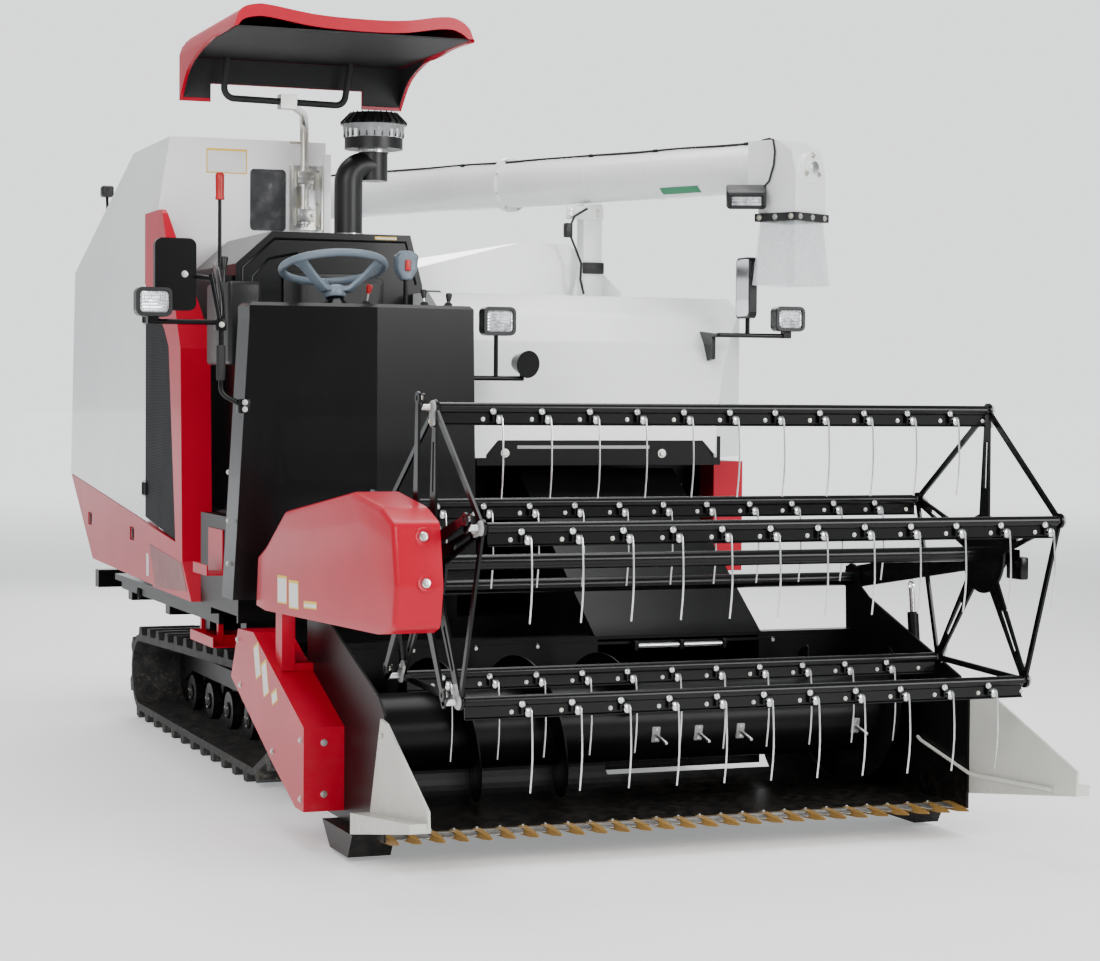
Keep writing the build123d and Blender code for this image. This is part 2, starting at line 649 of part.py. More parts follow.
# === operator's station ===============================================================
with BuildPart() as platform:
    slab(FLOOR_X, FLOOR_Y, FLOOR_Z)
    slab(FLOOR_X, (FLOOR_Y[0], FLOOR_Y[0] + 20), (FRAME_Z[1], FLOOR_Z[0]))
    slab((FLOOR_X[0], FLOOR_X[0] + 16), FLOOR_Y, (FRAME_Z[1] + 25, FLOOR_Z[0]))
    slab((FLOOR_X[1] - 20, FLOOR_X[1]), FLOOR_Y, (FRAME_Z[1], FLOOR_Z[0]))
save(platform.part, "platform")

with BuildPart() as engine:
    slab(ENGINE_X, ENGINE_Y, ENGINE_Z)
save(engine.part, "engine_block")

with BuildPart() as hood:
    front_plate(HOOD_OUTLINE, HOOD_Y)
    inner = []
    for x, z in HOOD_OUTLINE:
        wall = HOOD_WALL if x < mid((HOOD_OUTLINE[0][0], HOOD_OUTLINE[-1][0])) else -HOOD_WALL
        inner.append((x + wall, z - (HOOD_WALL if z > HOOD_OUTLINE[0][1] else 0)))
    front_plate(inner, (HOOD_Y[0] + HOOD_WALL, HOOD_Y[1]), 0, Mode.SUBTRACT)
    hand_x, hand_y = HAND_LEVER
    foot_z, grip_z, tip_z = HAND_LEVER_Z
    slab((hand_x - 25, HOOD_OUTLINE[0][0]), (hand_y - 40, hand_y + 40), (foot_z - 50, foot_z + 10))
    bar((hand_x, hand_y, foot_z), (hand_x, hand_y, grip_z), LEVER_R - 1)
    bar((hand_x, hand_y, grip_z - 10), (hand_x, hand_y, tip_z), HAND_GRIP_R)
save(hood.part, "engine_hood")

tilt = radians(WHEEL_LEAN)
wheel_axis = Vector(0, sin(tilt), cos(tilt))
wheel_middle = Vector(*WHEEL_CENTRE)
hub_middle = wheel_middle - wheel_axis * HUB_DROP
wheel_plane = Plane(origin=wheel_middle, x_dir=(1, 0, 0), z_dir=wheel_axis)
column_top = COLUMN_Z[1] + COLUMN_RIM
SPOKE_ANGLES = (-90, 30, 150)
with BuildPart() as steering_wheel:
    rim_plane = Plane(origin=wheel_middle + Vector(WHEEL_R, 0, 0), x_dir=(1, 0, 0), z_dir=(0, 1, 0))
    with BuildSketch(rim_plane) as rim:
        Circle(WHEEL_RIM_R)
    revolve(rim.sketch, axis=Axis(tuple(wheel_middle), tuple(wheel_axis)))
    for angle in SPOKE_ANGLES:
        spoke = Vector(cos(radians(angle)), sin(radians(angle)), 0)
        outward = wheel_plane.from_local_coords(spoke) - wheel_middle
        bar(tuple(hub_middle + outward * 20), tuple(wheel_middle + outward * WHEEL_R), 11)
    bar(tuple(hub_middle - wheel_axis * HUB_HALF), tuple(hub_middle + wheel_axis * HUB_HALF), 34)
    bar(tuple(hub_middle - wheel_axis * SHAFT_LENGTH), tuple(hub_middle), STEERING_SHAFT_R)
save(steering_wheel.part, "steering_wheel")

boot_low = hub_middle - wheel_axis * ((hub_middle.Z - column_top) / cos(tilt))
boot_high = hub_middle - wheel_axis * (HUB_HALF + 4)
with BuildPart() as column:
    with BuildSketch(Plane.XY.offset(COLUMN_Z[0])):
        with BuildLine():
            Polyline(*COLUMN_FOOT, close=True)
        make_face()
    with BuildSketch(Plane.XY.offset(COLUMN_Z[1])):
        with BuildLine():
            Polyline(*COLUMN_HEAD, close=True)
        make_face()
    loft(ruled=True)
    extrude(faces().sort_by(Axis.Z)[-1], amount=COLUMN_RIM)
    chamfer(faces().sort_by(Axis.Z)[-1].edges(), 12)
    slab((-934, -110), (-700, COLUMN_BACK), (FLOOR_Z[1], COLUMN_Z[1] - 60), Mode.SUBTRACT)
    with BuildSketch(Plane.XY.offset(column_top)):
        with Locations((boot_low.X, boot_low.Y)):
            Circle(48)
    with BuildSketch(Plane(origin=boot_high, x_dir=(1, 0, 0), z_dir=wheel_axis)):
        Circle(27)
    loft()
    shaft_low, shaft_high = boot_low - wheel_axis * 20, boot_high + wheel_axis * 5
    bar(tuple(shaft_low), tuple(shaft_high), STEERING_SHAFT_R + FIT, Mode.SUBTRACT)
    for start, end in STAY_ROOTS:
        bar(start, end, STAY_R, Mode.SUBTRACT)
    lever_x, lever_y = DRIVE_LEVER
    bar((lever_x, lever_y, column_top - 2), (lever_x, lever_y, LEVER_TOP), LEVER_R)
    grip = [(lever_x + dx, z) for dx, z in LEVER_GRIP]
    front_plate(grip, (lever_y + GRIP_DEPTH[0], lever_y + GRIP_DEPTH[1]))
save(column.part, "front_column")

with BuildPart() as seat:
    slab((SEAT_X[0] + 60, SEAT_X[1] - 60), (-390, -100), (FLOOR_Z[1], 1330))
    side_plate(SEAT_OUTLINE, SEAT_X)
save(seat.part, "seat")

# === intake, levers, steps =============================================================
intake_x, intake_y = INTAKE
with BuildPart() as intake_pipe:
    elbow = ((intake_x, intake_y, HOOD_OUTLINE[2][1]), (intake_x, intake_y, 2363), (BOWL_X, intake_y, 2363))
    bent_tube(elbow, 70, INTAKE_R)
    bar((BOWL_X, intake_y, 2305), (BOWL_X, intake_y, BOWL_Z[0] - 44), INTAKE_R)
    bar((BOWL_X, intake_y, BOWL_Z[0] - 44), (BOWL_X, intake_y, BOWL_Z[0]), BOWL_R - 12)
    bar((BOWL_X, intake_y, BOWL_Z[0]), (BOWL_X, intake_y, BOWL_Z[1]), BOWL_STEM_R)
    with BuildSketch(Plane.XY.offset(BOWL_Z[1])):
        with Locations((BOWL_X, intake_y)):
            Circle(BOWL_R + 4)
    with BuildSketch(Plane.XY.offset(BOWL_Z[1] + 48)):
        with Locations((BOWL_X, intake_y)):
            Circle(BOWL_R - 36)
    loft()
    for z in (2085, 2425):
        x = intake_x if z < 2300 else BOWL_X
        bar((x, intake_y, z - 9), (x, intake_y, z + 9), INTAKE_R + 4)
save(intake_pipe.part, "intake_pipe")

with BuildPart() as bowl:
    with BuildSketch(Plane.XY.offset(BOWL_Z[0])):
        with Locations((BOWL_X, intake_y)):
            Circle(BOWL_R - 12)
    with BuildSketch(Plane.XY.offset(BOWL_Z[1])):
        with Locations((BOWL_X, intake_y)):
            Circle(BOWL_R)
    loft()
    bar((BOWL_X, intake_y, BOWL_Z[0]), (BOWL_X, intake_y, BOWL_Z[1]), BOWL_STEM_R, Mode.SUBTRACT)
save(bowl.part, "intake_bowl")

with BuildPart() as steps:
    slab(STEP_X, STEP_Y, (STEP_Z, STEP_Z + 4))
    for x in (STEP_X[0], STEP_X[1] - 4):
        slab((x, x + 4), STEP_Y, (STEP_Z, STEP_Z + STEP_LIP))
    for y in (SIDE_RAIL_Y[0] + 15, STEP_Y[1] - 10):
        slab((STEP_X[0] + 4, STEP_X[1]), (y, y + 6), (STEP_Z, STEP_Z + STEP_LIP))
        slab((-900, -880), (y - 6, y + 18), (STEP_Z, 600))
save(steps.part, "lower_step")

with BuildPart() as small_step:
    slab((FLOOR_X[0] - 5, FLOOR_X[0]), SMALL_STEP_Y, (SMALL_STEP_Z, SMALL_STEP_Z + 165))
    slab((FLOOR_X[0] - 62, FLOOR_X[0]), SMALL_STEP_Y, (SMALL_STEP_Z, SMALL_STEP_Z + 5))
    slab((FLOOR_X[0] - 62, FLOOR_X[0] - 57), SMALL_STEP_Y, (SMALL_STEP_Z, SMALL_STEP_Z + STEP_LIP))
save(small_step.part, "upper_step")

# === canopy ============================================================================
with BuildPart() as canopy_room:
    with BuildSketch(Plane.XZ.offset(-CANOPY_Y[0] - CANOPY_SKIN)):
        with BuildLine():
            Polyline(*CANOPY_OUTLINE, close=True)
        make_face()
        offset(amount=-CANOPY_SKIN, kind=Kind.INTERSECTION)
    extrude(amount=-(CANOPY_Y[1] - CANOPY_Y[0] - 2 * CANOPY_SKIN))
    under_roof = [(y, z - CANOPY_SKIN) for y, z in CANOPY_SIDE[1:4]]
    under_roof += [(CANOPY_Y[1], CANOPY_FOOT), (CANOPY_Y[0], CANOPY_FOOT)]
    side_plate(under_roof, CANOPY_REACH, 0, Mode.INTERSECT)

with BuildPart() as canopy:
    front_plate(CANOPY_OUTLINE, CANOPY_Y)
    side_plate(CANOPY_SIDE, CANOPY_REACH, 0, Mode.INTERSECT)
    add(canopy_room.part, mode=Mode.SUBTRACT)
    left, right, low, high = CANOPY_ARCH
    slab((left, right), (CANOPY_Y[1] - 2 * CANOPY_SKIN, CANOPY_Y[1] + 1), (low, high), Mode.SUBTRACT)
save(canopy.part, "canopy")

with BuildPart() as liner_room:
    add(canopy_room.part)
    bent_tube(FRAME_TUBE, TUBE_BEND, CANOPY_TUBE_R)

with BuildPart() as canopy_frame:
    bent_tube(FRAME_TUBE, TUBE_BEND, CANOPY_TUBE_R)
    slab(CANOPY_REACH, CANOPY_Y, LINER_Z)
    add(liner_room.part, mode=Mode.INTERSECT)
save(canopy_frame.part, "canopy_liner")

with BuildPart() as canopy_post:
    post_low = (POST_X, POST_Y, BRACKET_Z[0] + 10)
    bent_tube((post_low, (POST_X, POST_Y, POST_GRIP[2]), POST_GRIP), 70, POST_R)
    grip_x, grip_y, grip_z = POST_GRIP
    slab((grip_x - 32, grip_x + 32), (grip_y - 28, grip_y + 28), (grip_z - 28, grip_z + 28))
    bar(FRAME_TUBE[1], FRAME_TUBE[2], CANOPY_TUBE_R, Mode.SUBTRACT)
    slab(BRACKET_X, (TANK_FRONT - 8, TANK_FRONT), BRACKET_Z)
    for z in (BRACKET_Z[0] + 20, BRACKET_Z[1] - 90):
        bar((POST_X, POST_Y, z), (POST_X, POST_Y, z + 70), POST_R + 9)
        slab((POST_X - 22, POST_X + 22), (POST_Y, TANK_FRONT - 8), (z, z + 70))
    for x in BRACKET_X:
        rib = sorted((x, x + (5 if x == BRACKET_X[0] else -5)))
        slab(rib, (POST_Y, TANK_FRONT - 8), BRACKET_Z)
    bar((POST_X - 60, POST_Y, 2480), (POST_X, POST_Y, 2480), 7)
save(canopy_post.part, "canopy_post")


# === mirrors and lamps ==================================================================
def lamp_housing(x, y, z, width, height, depth):
    """Stepped lamp housing with its lens side towards -Y."""
    step = y + depth / 6
    for inset, start, end, radius in ((0, y - depth / 2, step, 22), (18, step, y + depth / 2, 14)):
        w = width / 2 - inset
        h = height / 2 - inset
        front_plate(oblong((x - w, x + w), (z - h, z + h)), (start, end), radius)


with BuildPart() as mirror_right:
    root, knee = STAY_ROOTS[0]
    bent_tube((root, knee, (-1031, -790, 1686), (-1066, -790, 1868)), 40, STAY_R)
    bar((-1031, -790, 1700), (-1270, -790, 1700), STAY_R)
    slab((-1290, -1254), (-806, -774), (1691, 1716))
    lamp_housing(-1272, -790, 1766, 124, 100, 74)
    bar((-1062, -790, 1850), (-1130, -735, 1862), STAY_R)
    front_plate(oblong((-1254, -1109), (1740, 1990)), (-752, -722), 26)
save(mirror_right.part, "mirror_right")

with BuildPart() as mirror_centre:
    root, knee = STAY_ROOTS[1]
    bar(root, (90, -780, 1517), STAY_R)
    bar((-16, -780, 1517), (-16, -780, 1675), STAY_R - 1)
    lamp_housing(-16, -780, 1722, 124, 104, 74)
    bar((84, -780, 1517), (84, -780, 1545), STAY_R - 1)
    with BuildSketch(Plane(origin=(96, -815, 1568), z_dir=(-0.25, 1, 0.1))):
        Circle(50)
    with BuildSketch(Plane(origin=(80, -750, 1575), z_dir=(-0.25, 1, 0.1))):
        Circle(30)
    loft()
save(mirror_centre.part, "lamp_centre")

# === thresher and its covers ==============================================================
header_y, header_z = HEADER_PIVOT
with BuildPart() as thresher:
    slab(THRESHER_X, THRESHER_Y, THRESHER_Z)
    mount = ((THRESHER_Y[0], header_z - 120), (THRESHER_Y[0], header_z + 120), (header_y, header_z + 45))
    mount += ((header_y - 45, header_z), (header_y, header_z - 45))
    for x in ((FEEDER_X[0] - 40, FEEDER_X[0] - 5), (FEEDER_X[1] + 5, FEEDER_X[1] + 40)):
        side_plate(mount, x)
    drum((FEEDER_X[0] - 45, FEEDER_X[1] + 45), header_y, header_z, HEADER_PIN_R + FIT, Mode.SUBTRACT)
save(thresher.part, "thresher")


def front_cover_body(inset, tail):
    """Front cover's outside form, moved in by an inset, its open sides let out by a tail."""
    low_y, low_z = COVER_PROFILE[0]
    top_z = COVER_PROFILE[-1][1]
    profile = [(low_y - tail * 20 / 175, low_z - tail), *COVER_PROFILE[1:]]
    profile += [(COVER_TAIL + tail, top_z), (COVER_TAIL + tail, low_z - tail)]
    (ax, ay), (bx, by) = COVER_CORNER
    reach = hypot(bx - ax, by - ay)
    inward = (-(by - ay) / reach * inset, (bx - ax) / reach * inset)
    cut = [(ax + inward[0], ay + inward[1]), (bx + inward[0], by + inward[1])]
    along = ((bx - ax) / reach * 400, (by - ay) / reach * 400)
    corner = [(cut[0][0] - along[0], cut[0][1] - along[1]), (cut[1][0] + along[0], cut[1][1] + along[1])]
    corner += [(1700, -900)]
    with BuildPart() as body:
        with BuildSketch(Plane.YZ.offset(COVER_X[0] + inset)):
            with BuildLine():
                Polyline(*profile, close=True)
            make_face()
            if inset:
                offset(amount=-inset, kind=Kind.INTERSECTION)
        extrude(amount=COVER_X[1] - COVER_X[0] - 2 * inset)
        floor_plate(corner, (1000, 2000), 0, Mode.SUBTRACT)
        if not inset:
            crest = edges().filter_by(Axis.X).sort_by(Axis.Z)
            fillet([edge for edge in crest if edge.center().Y < -200 and edge.center().Z > 1300], COVER_ROUND)
    return body.part


cover_outside = front_cover_body(0, 0)
with BuildPart() as front_cover:
    add(cover_outside)
    add(front_cover_body(COVER_SKIN, 60), mode=Mode.SUBTRACT)
    front_plate(COVER_ARCH, (COVER_PROFILE[0][0] - 10, COVER_PROFILE[0][0] + 60), 0, Mode.SUBTRACT)
    slab((COVER_X[0] - 1, -58), (HOOD_Y[0] - 3, COVER_TAIL + 1), (1200, 1850), Mode.SUBTRACT)
    side_y = (SIDE_COVER_Y[0] - SEAM, COVER_TAIL + 1)
    slab((SIDE_COVER_X[0], COVER_X[1] + 1), side_y, (1200, THRESHER_Z[1]), Mode.SUBTRACT)
    front_plate(HUMP, HUMP_Y)
    rest_x, rest_y = REST
    slab(
        (rest_x - REST_HALF, rest_x + REST_HALF),
        (rest_y - REST_HALF, rest_y + REST_HALF - 8),
        (COVER_PROFILE[-1][1], PIPE_Z - PIPE_R - 6),
    )
    gusset = [(rest_x + dx, z) for dx, z in ((-75, 1845), (75, 1845), (REST_HALF, 1990), (-REST_HALF, 1990))]
    front_plate(gusset, (rest_y - 5, rest_y + 5))
save(front_cover.part, "front_cover")

with BuildPart() as left_white:
    slab(SIDE_COVER_X, SIDE_COVER_Y, WHITE_SIDE_Z)
    chamfer(edges().filter_by(Axis.Y).group_by(Axis.X)[-1].sort_by(Axis.Z)[-1], 30)
save(left_white.part, "side_cover_left")

with BuildPart() as left_red:
    slab(SIDE_COVER_X, (-402, SIDE_COVER_Y[1]), RED_SIDE_Z)
    slab((1027, SIDE_COVER_X[1]), (-405, -393), (RED_SIDE_Z[0], RED_SIDE_Z[1]))
    slab((1060, SIDE_COVER_X[0]), (-393, THRESHER_Y[0]), (RED_SIDE_Z[0], RED_SIDE_Z[1]))
save(left_red.part, "lower_cover_left")

with BuildPart() as tail:
    side_plate(HOOD_TAIL, THRESHER_X)
    room = [(y - (1 if y == 2350 else 8), z - (0 if y == 2350 and z < 1000 else 10)) for y, z in HOOD_TAIL]
    side_plate(room, (THRESHER_X[0] + TAIL_WALL, THRESHER_X[1] - TAIL_WALL), 0, Mode.SUBTRACT)
save(tail.part, "straw_hood")

with BuildPart() as mirror_left:
    stay = ((-560, 1600), (-560, 1700), (-400, 1712), (-480, 1590))
    side_plate(stay, (943, 957))
    add(cover_outside, mode=Mode.SUBTRACT)
    bar((950, -550, 1692), (950, -605, 1692), STAY_R)
    with Locations((950, -605, 1692)):
        Sphere(STAY_R)
    bar((950, -605, 1692), (1250, -605, 1692), STAY_R)
    slab((1218, 1250), (-620, -590), (1683, 1712))
    lamp_housing(1234, -605, 1757, 122, 96, 74)
    bar((1070, -605, 1692), (1070, -605, 1765), STAY_R)
    side_plate(oblong((-655, -530), (1757, 1990)), (1055, 1085), 24)
save(mirror_left.part, "mirror_left")

# === unloading auger ====================================================================
pipe_reach = hypot(PIPE_END[0] - SWING_AXIS[0], PIPE_END[1] - SWING_AXIS[1])
pipe_way = Vector((PIPE_END[0] - SWING_AXIS[0]) / pipe_reach, (PIPE_END[1] - SWING_AXIS[1]) / pipe_reach, 0)
pipe_side = Vector(-pipe_way.Y, pipe_way.X, 0)
swing_foot = Vector(*SWING_AXIS, 0)


def on_pipe(along, across, z):
    """Point by its distance along the unloading pipe, across it and above the ground."""
    return tuple(swing_foot + pipe_way * along + pipe_side * across + Vector(0, 0, z))


def pipe_plate(points, across, mode=Mode.ADD):
    """Extrude an outline of (along the pipe, Z) points between two limits across the pipe."""
    plane = Plane(origin=on_pipe(0, across[0], 0), x_dir=pipe_way, z_dir=pipe_side * -1)
    extrude(face(plane, points), amount=-(across[1] - across[0]), mode=mode)


with BuildPart() as turret:
    bar(on_pipe(0, 0, SWING_Z[0]), on_pipe(0, 0, SWING_Z[1]), TURRET_R)
    bar(on_pipe(0, 0, SWING_Z[0]), on_pipe(0, 0, SWING_Z[0] + 46), SPIGOT_R + FIT, Mode.SUBTRACT)
    for hand in (-1, 1):
        ear = sorted((hand * EAR[0], hand * EAR[1]))
        pipe_plate(((-50, 2140), (50, 2140), (50, 2350), (25, 2375), (-25, 2375), (-50, 2350)), ear)
        lug = sorted((hand * 27, hand * 33))
        ram_s, ram_z = UNLOADER_RAM[0]
        lug_outline = ((90, SWING_Z[0] + 4), (ram_s + 18, ram_z - 20), (ram_s + 18, ram_z + 20), (90, 2180))
        pipe_plate(lug_outline, lug)
    bar(on_pipe(0, -EAR[1], PIPE_Z), on_pipe(0, EAR[1], PIPE_Z), LIFT_PIN_R + FIT, Mode.SUBTRACT)
    bar(on_pipe(ram_s, -33, ram_z), on_pipe(ram_s, 33, ram_z), 9)
save(turret.part, "unloader_turret")

with BuildPart() as pipe:
    bar(on_pipe(0, 0, PIPE_Z), on_pipe(ELBOW[0][0] + 20, 0, PIPE_Z), PIPE_R)
    with Locations(on_pipe(0, 0, PIPE_Z)):
        Sphere(PIPE_R)
    bar(on_pipe(PIPE_FLANGE - 12, 0, PIPE_Z), on_pipe(PIPE_FLANGE + 12, 0, PIPE_Z), PIPE_R + 17)
    bar(on_pipe(0, -EAR[1], PIPE_Z), on_pipe(0, EAR[1], PIPE_Z), LIFT_PIN_R)
    pipe_plate(ELBOW, (-ELBOW_HALF, ELBOW_HALF))
    inner = []
    for s, z in ELBOW:
        along = 1 if s < ELBOW[6][0] + 1 else -1 if s > ELBOW[3][0] - 1 else 0
        down = ELBOW_SHEET if z > PIPE_Z - PIPE_R and z < ELBOW[4][1] else -ELBOW_SHEET
        down = -1 if z == ELBOW[5][1] else down
        inner.append((s + along * ELBOW_SHEET, z + down))
    pipe_plate(inner, (ELBOW_SHEET - ELBOW_HALF, ELBOW_HALF - ELBOW_SHEET), Mode.SUBTRACT)
    bar(on_pipe(60, 0, PIPE_Z), on_pipe(ELBOW[0][0] + 40, 0, PIPE_Z), PIPE_R - PIPE_WALL, Mode.SUBTRACT)
    eye_s, eye_z = UNLOADER_RAM[1]
    for hand in (-1, 1):
        lug = sorted((hand * 28, hand * 34))
        lug_outline = [(eye_s - 25, eye_z - 18), (eye_s + 25, eye_z - 18)]
        lug_outline += [(eye_s + 40, PIPE_Z - PIPE_R + 7), (eye_s - 40, PIPE_Z - PIPE_R + 7)]
        pipe_plate(lug_outline, lug)
save(pipe.part, "unloader_pipe")

spout_s = (ELBOW[6][0], ELBOW[5][0])
with BuildPart() as spout:
    for z, grow in ((SPOUT_Z[1], -6), (SPOUT_Z[0], 14)):
        with BuildSketch(Plane(origin=on_pipe(mid(spout_s), 0, z), x_dir=pipe_way, z_dir=(0, 0, -1))):
            Rectangle(spout_s[1] - spout_s[0] + 2 * grow, 2 * ELBOW_HALF + 2 * grow)
    loft()
    for z, grow in ((SPOUT_Z[1] + 1, -10), (SPOUT_Z[0] - 1, 10)):
        with BuildSketch(Plane(origin=on_pipe(mid(spout_s), 0, z), x_dir=pipe_way, z_dir=(0, 0, -1))):
            Rectangle(spout_s[1] - spout_s[0] + 2 * grow, 2 * ELBOW_HALF + 2 * grow)
    loft(mode=Mode.SUBTRACT)
save(spout.part, "spout_hood")

with BuildPart() as spout_band:
    band_z = (BAND_LOW, ELBOW[5][1])
    pipe_plate(oblong((spout_s[0] - 10, spout_s[1] + 10), band_z), (-ELBOW_HALF - 10, ELBOW_HALF + 10))
    bore_z = (BAND_LOW - 10, ELBOW[5][1] + 10)
    bore = oblong((spout_s[0] + 12, spout_s[1] - 12), bore_z)
    pipe_plate(bore, (-ELBOW_HALF + 12, ELBOW_HALF - 12), Mode.SUBTRACT)
    add(spout.part, mode=Mode.SUBTRACT)
save(spout_band.part, "spout_band")

# === header =============================================================================
def arc_points(centre, radius, start, end, count):
    """Points round an arc in a side view, angles in degrees from +Y towards +Z."""
    points = []
    for index in range(count + 1):
        angle = radians(start + (end - start) * index / count)
        points.append((centre[0] + radius * cos(angle), centre[1] + radius * sin(angle)))
    return points


pan_x = (RIGHT_PLATE[1], LEFT_PLATE[0])
with BuildPart() as header_frame:
    for plate in (RIGHT_PLATE, LEFT_PLATE):
        side_plate(END_PLATE, plate)
        drum(plate, *REEL_PIVOT, 55)
    pan_rear = arc_points(TROUGH, TROUGH_R[0], 250, 360, 18)
    pan_under = arc_points(TROUGH, TROUGH_R[1], 360, 250, 18)
    sheet = [(BAR_Y[1], PAN_Z[1]), *pan_rear, (BACK_Y[0], 600), (BACK_Y[1], 600), *pan_under]
    sheet.append((BAR_Y[1], PAN_Z[0]))
    side_plate(sheet, pan_x)
    slab(pan_x, (BACK_Y[1], -1183), (560, 620))
    side_plate(FEEDER, FEEDER_X, 0, Mode.SUBTRACT)
    slab((FEEDER_X[0] + 10, FEEDER_X[1] - 10), (-1420, BACK_Y[1] + 1), (150, 590), Mode.SUBTRACT)
    for x in ((-880, -740), (1120, LEFT_PLATE[1])):
        side_plate(((-1900, PAN_Z[0]), (-1850, 15), (-1650, 15), (-1560, PAN_Z[0])), x)
    drum((RIGHT_PLATE[0] - 1, LEFT_PLATE[1] + 1), *REEL_PIVOT, REEL_TUBE_R + FIT, Mode.SUBTRACT)
    drum((RIGHT_PLATE[0] - 1, LEFT_PLATE[1] + 1), *TROUGH, 20 + FIT, Mode.SUBTRACT)
    drum((LEFT_PLATE[1], 1262), *REEL_RAM[0], 12)
save(header_frame.part, "header_frame")

with BuildPart() as feeder:
    side_plate(FEEDER, FEEDER_X)
    floor_line, roof_line = FEEDER[:2], FEEDER[2:]
    room = [(y, z + FEEDER_WALL) for y, z in floor_line] + [(y, z - FEEDER_WALL) for y, z in roof_line]
    side_plate(room, (FEEDER_X[0] + FEEDER_WALL, FEEDER_X[1] - FEEDER_WALL), 0, Mode.SUBTRACT)
    drum((FEEDER_X[0] - 40, FEEDER_X[1] + 40), *HEADER_PIVOT, HEADER_PIN_R)
    eye_y, eye_z = RAM_EYE
    for x in ((RAM_X[0] - 15, RAM_X[0] - 5), (RAM_X[1] + 5, RAM_X[1] + 15)):
        side_plate([(eye_y + dy, eye_z + dz) for dy, dz in EYE_EAR], x)
save(feeder.part, "feeder_house")

with BuildPart() as drive_cover:
    side_plate(DRIVE_COVER, DRIVE_COVER_X)
    with BuildSketch(Plane.YZ.offset(DRIVE_COVER_X[0] + DRIVE_WALL)):
        with BuildLine():
            Polyline(*DRIVE_COVER, close=True)
        make_face()
        offset(amount=-DRIVE_WALL, kind=Kind.INTERSECTION)
    extrude(amount=DRIVE_COVER_X[1] - DRIVE_COVER_X[0], mode=Mode.SUBTRACT)
    slab(RED_POST, (-1260, -1180), (535, 760))
    slab((RED_POST[1] - 5, DRIVE_COVER_X[1]), (-1256, -1184), (535, 560))
    slab((RED_POST[1], ARM_RIGHT[0] - 6), (-1235, -1205), (560, 700))
save(drive_cover.part, "header_cover")

with BuildPart() as cutterbar:
    slab(pan_x, BAR_Y, BAR_Z)
    for index in range(GUARD_COUNT):
        x = GUARD_FIRST + index * GUARD_PITCH
        if index in (0, GUARD_COUNT - 1):
            x += 4 if index == 0 else -4
        with BuildSketch(Plane.XZ.offset(-BAR_Y[0])):
            with Locations((x, mid(BAR_Z))):
                Rectangle(26, 22)
        with BuildSketch(Plane.XZ.offset(-BAR_Y[0] + 60)):
            with Locations((x, mid(BAR_Z))):
                Rectangle(18, 18)
        with BuildSketch(Plane.XZ.offset(-GUARD_TIP[0])):
            with Locations((x, GUARD_TIP[1])):
                Rectangle(5, 5)
        loft(ruled=True)
        slab((x - 13, x + 13), (BAR_Y[0], BAR_Y[0] + 34), (BAR_Z[0] - 8, BAR_Z[1] + 8))
save(cutterbar.part, "cutterbar")

with BuildPart() as divider_right:
    side_plate(DIVIDER_RIGHT, (RIGHT_PLATE[0] - DIVIDER_SHEET, RIGHT_PLATE[0]))
    ledge = ((-1911, 99), (-1911, 165), (-2500, 225), (-2509, 198))
    side_plate(ledge, (-890, RIGHT_PLATE[0] - DIVIDER_SHEET))
save(divider_right.part, "divider_right")

with BuildPart() as divider_left:
    side_plate(DIVIDER_LEFT, (LEFT_PLATE[1], LEFT_PLATE[1] + DIVIDER_SHEET))
    ledge = ((-2087, 147), (-2080, 200), (-2692, 262), (-2690, 228))
    side_plate(ledge, (LEFT_PLATE[1] + DIVIDER_SHEET, LEFT_PLATE[1] + 50))
save(divider_left.part, "divider_left")

with BuildPart() as auger:
    drum((AUGER_X[0], AUGER_X[1]), *TROUGH, AUGER_DRUM_R)
    drum((RIGHT_PLATE[0], LEFT_PLATE[1]), *TROUGH, 20)
    for start, length, left in ((AUGER_X[0] + 5, 960, False), (FEEDER_X[1] + 60, 290, True)):
        middle = (start, *TROUGH)
        root_r = AUGER_DRUM_R - FLIGHT_ROOT
        with BuildLine() as path:
            Helix(FLIGHT_PITCH, length, root_r, center=middle, direction=(1, 0, 0), lefthand=left)
        foot = path.line @ 0
        with BuildSketch(Plane(origin=foot, x_dir=foot - Vector(*middle), z_dir=path.line % 0)):
            with Locations(((AUGER_R - root_r) / 2, 0)):
                Rectangle(AUGER_R - root_r, FLIGHT_SHEET)
        sweep(path=path.line, is_frenet=True)
save(auger.part, "header_auger")

# === reel ===============================================================================
hub_y, hub_z = REEL_HUB
pivot_y, pivot_z = REEL_PIVOT
with BuildPart() as reel_arms:
    drum((ARM_RIGHT[0], ARM_LEFT[1]), *REEL_PIVOT, REEL_TUBE_R)
    spine = [(pivot_y + 45, pivot_z - 40), (pivot_y + 45, pivot_z + 40)]
    spine += [(hub_y - 40, hub_z + 38), (hub_y - 40, hub_z - 38)]
    for plate in (ARM_RIGHT, ARM_LEFT):
        side_plate(spine, plate, 20)
    drum((ARM_RIGHT[1], RING_X[0]), *REEL_HUB, 60)
    drum((RING_X[0], RING_X[1] + 3), hub_y + ECCENTRIC[0], hub_z + ECCENTRIC[1], ECCENTRIC_R)
    drum((ARM_RIGHT[0] - 1, ARM_LEFT[1] + 1), *REEL_HUB, SHAFT_R + FIT, Mode.SUBTRACT)
    for y, z in ((-1420, 850), (-2040, 935)):
        drum((REEL_COVER_X[0] + REEL_COVER_WALL, ARM_RIGHT[0]), y, z, 16)
save(reel_arms.part, "reel_arms")

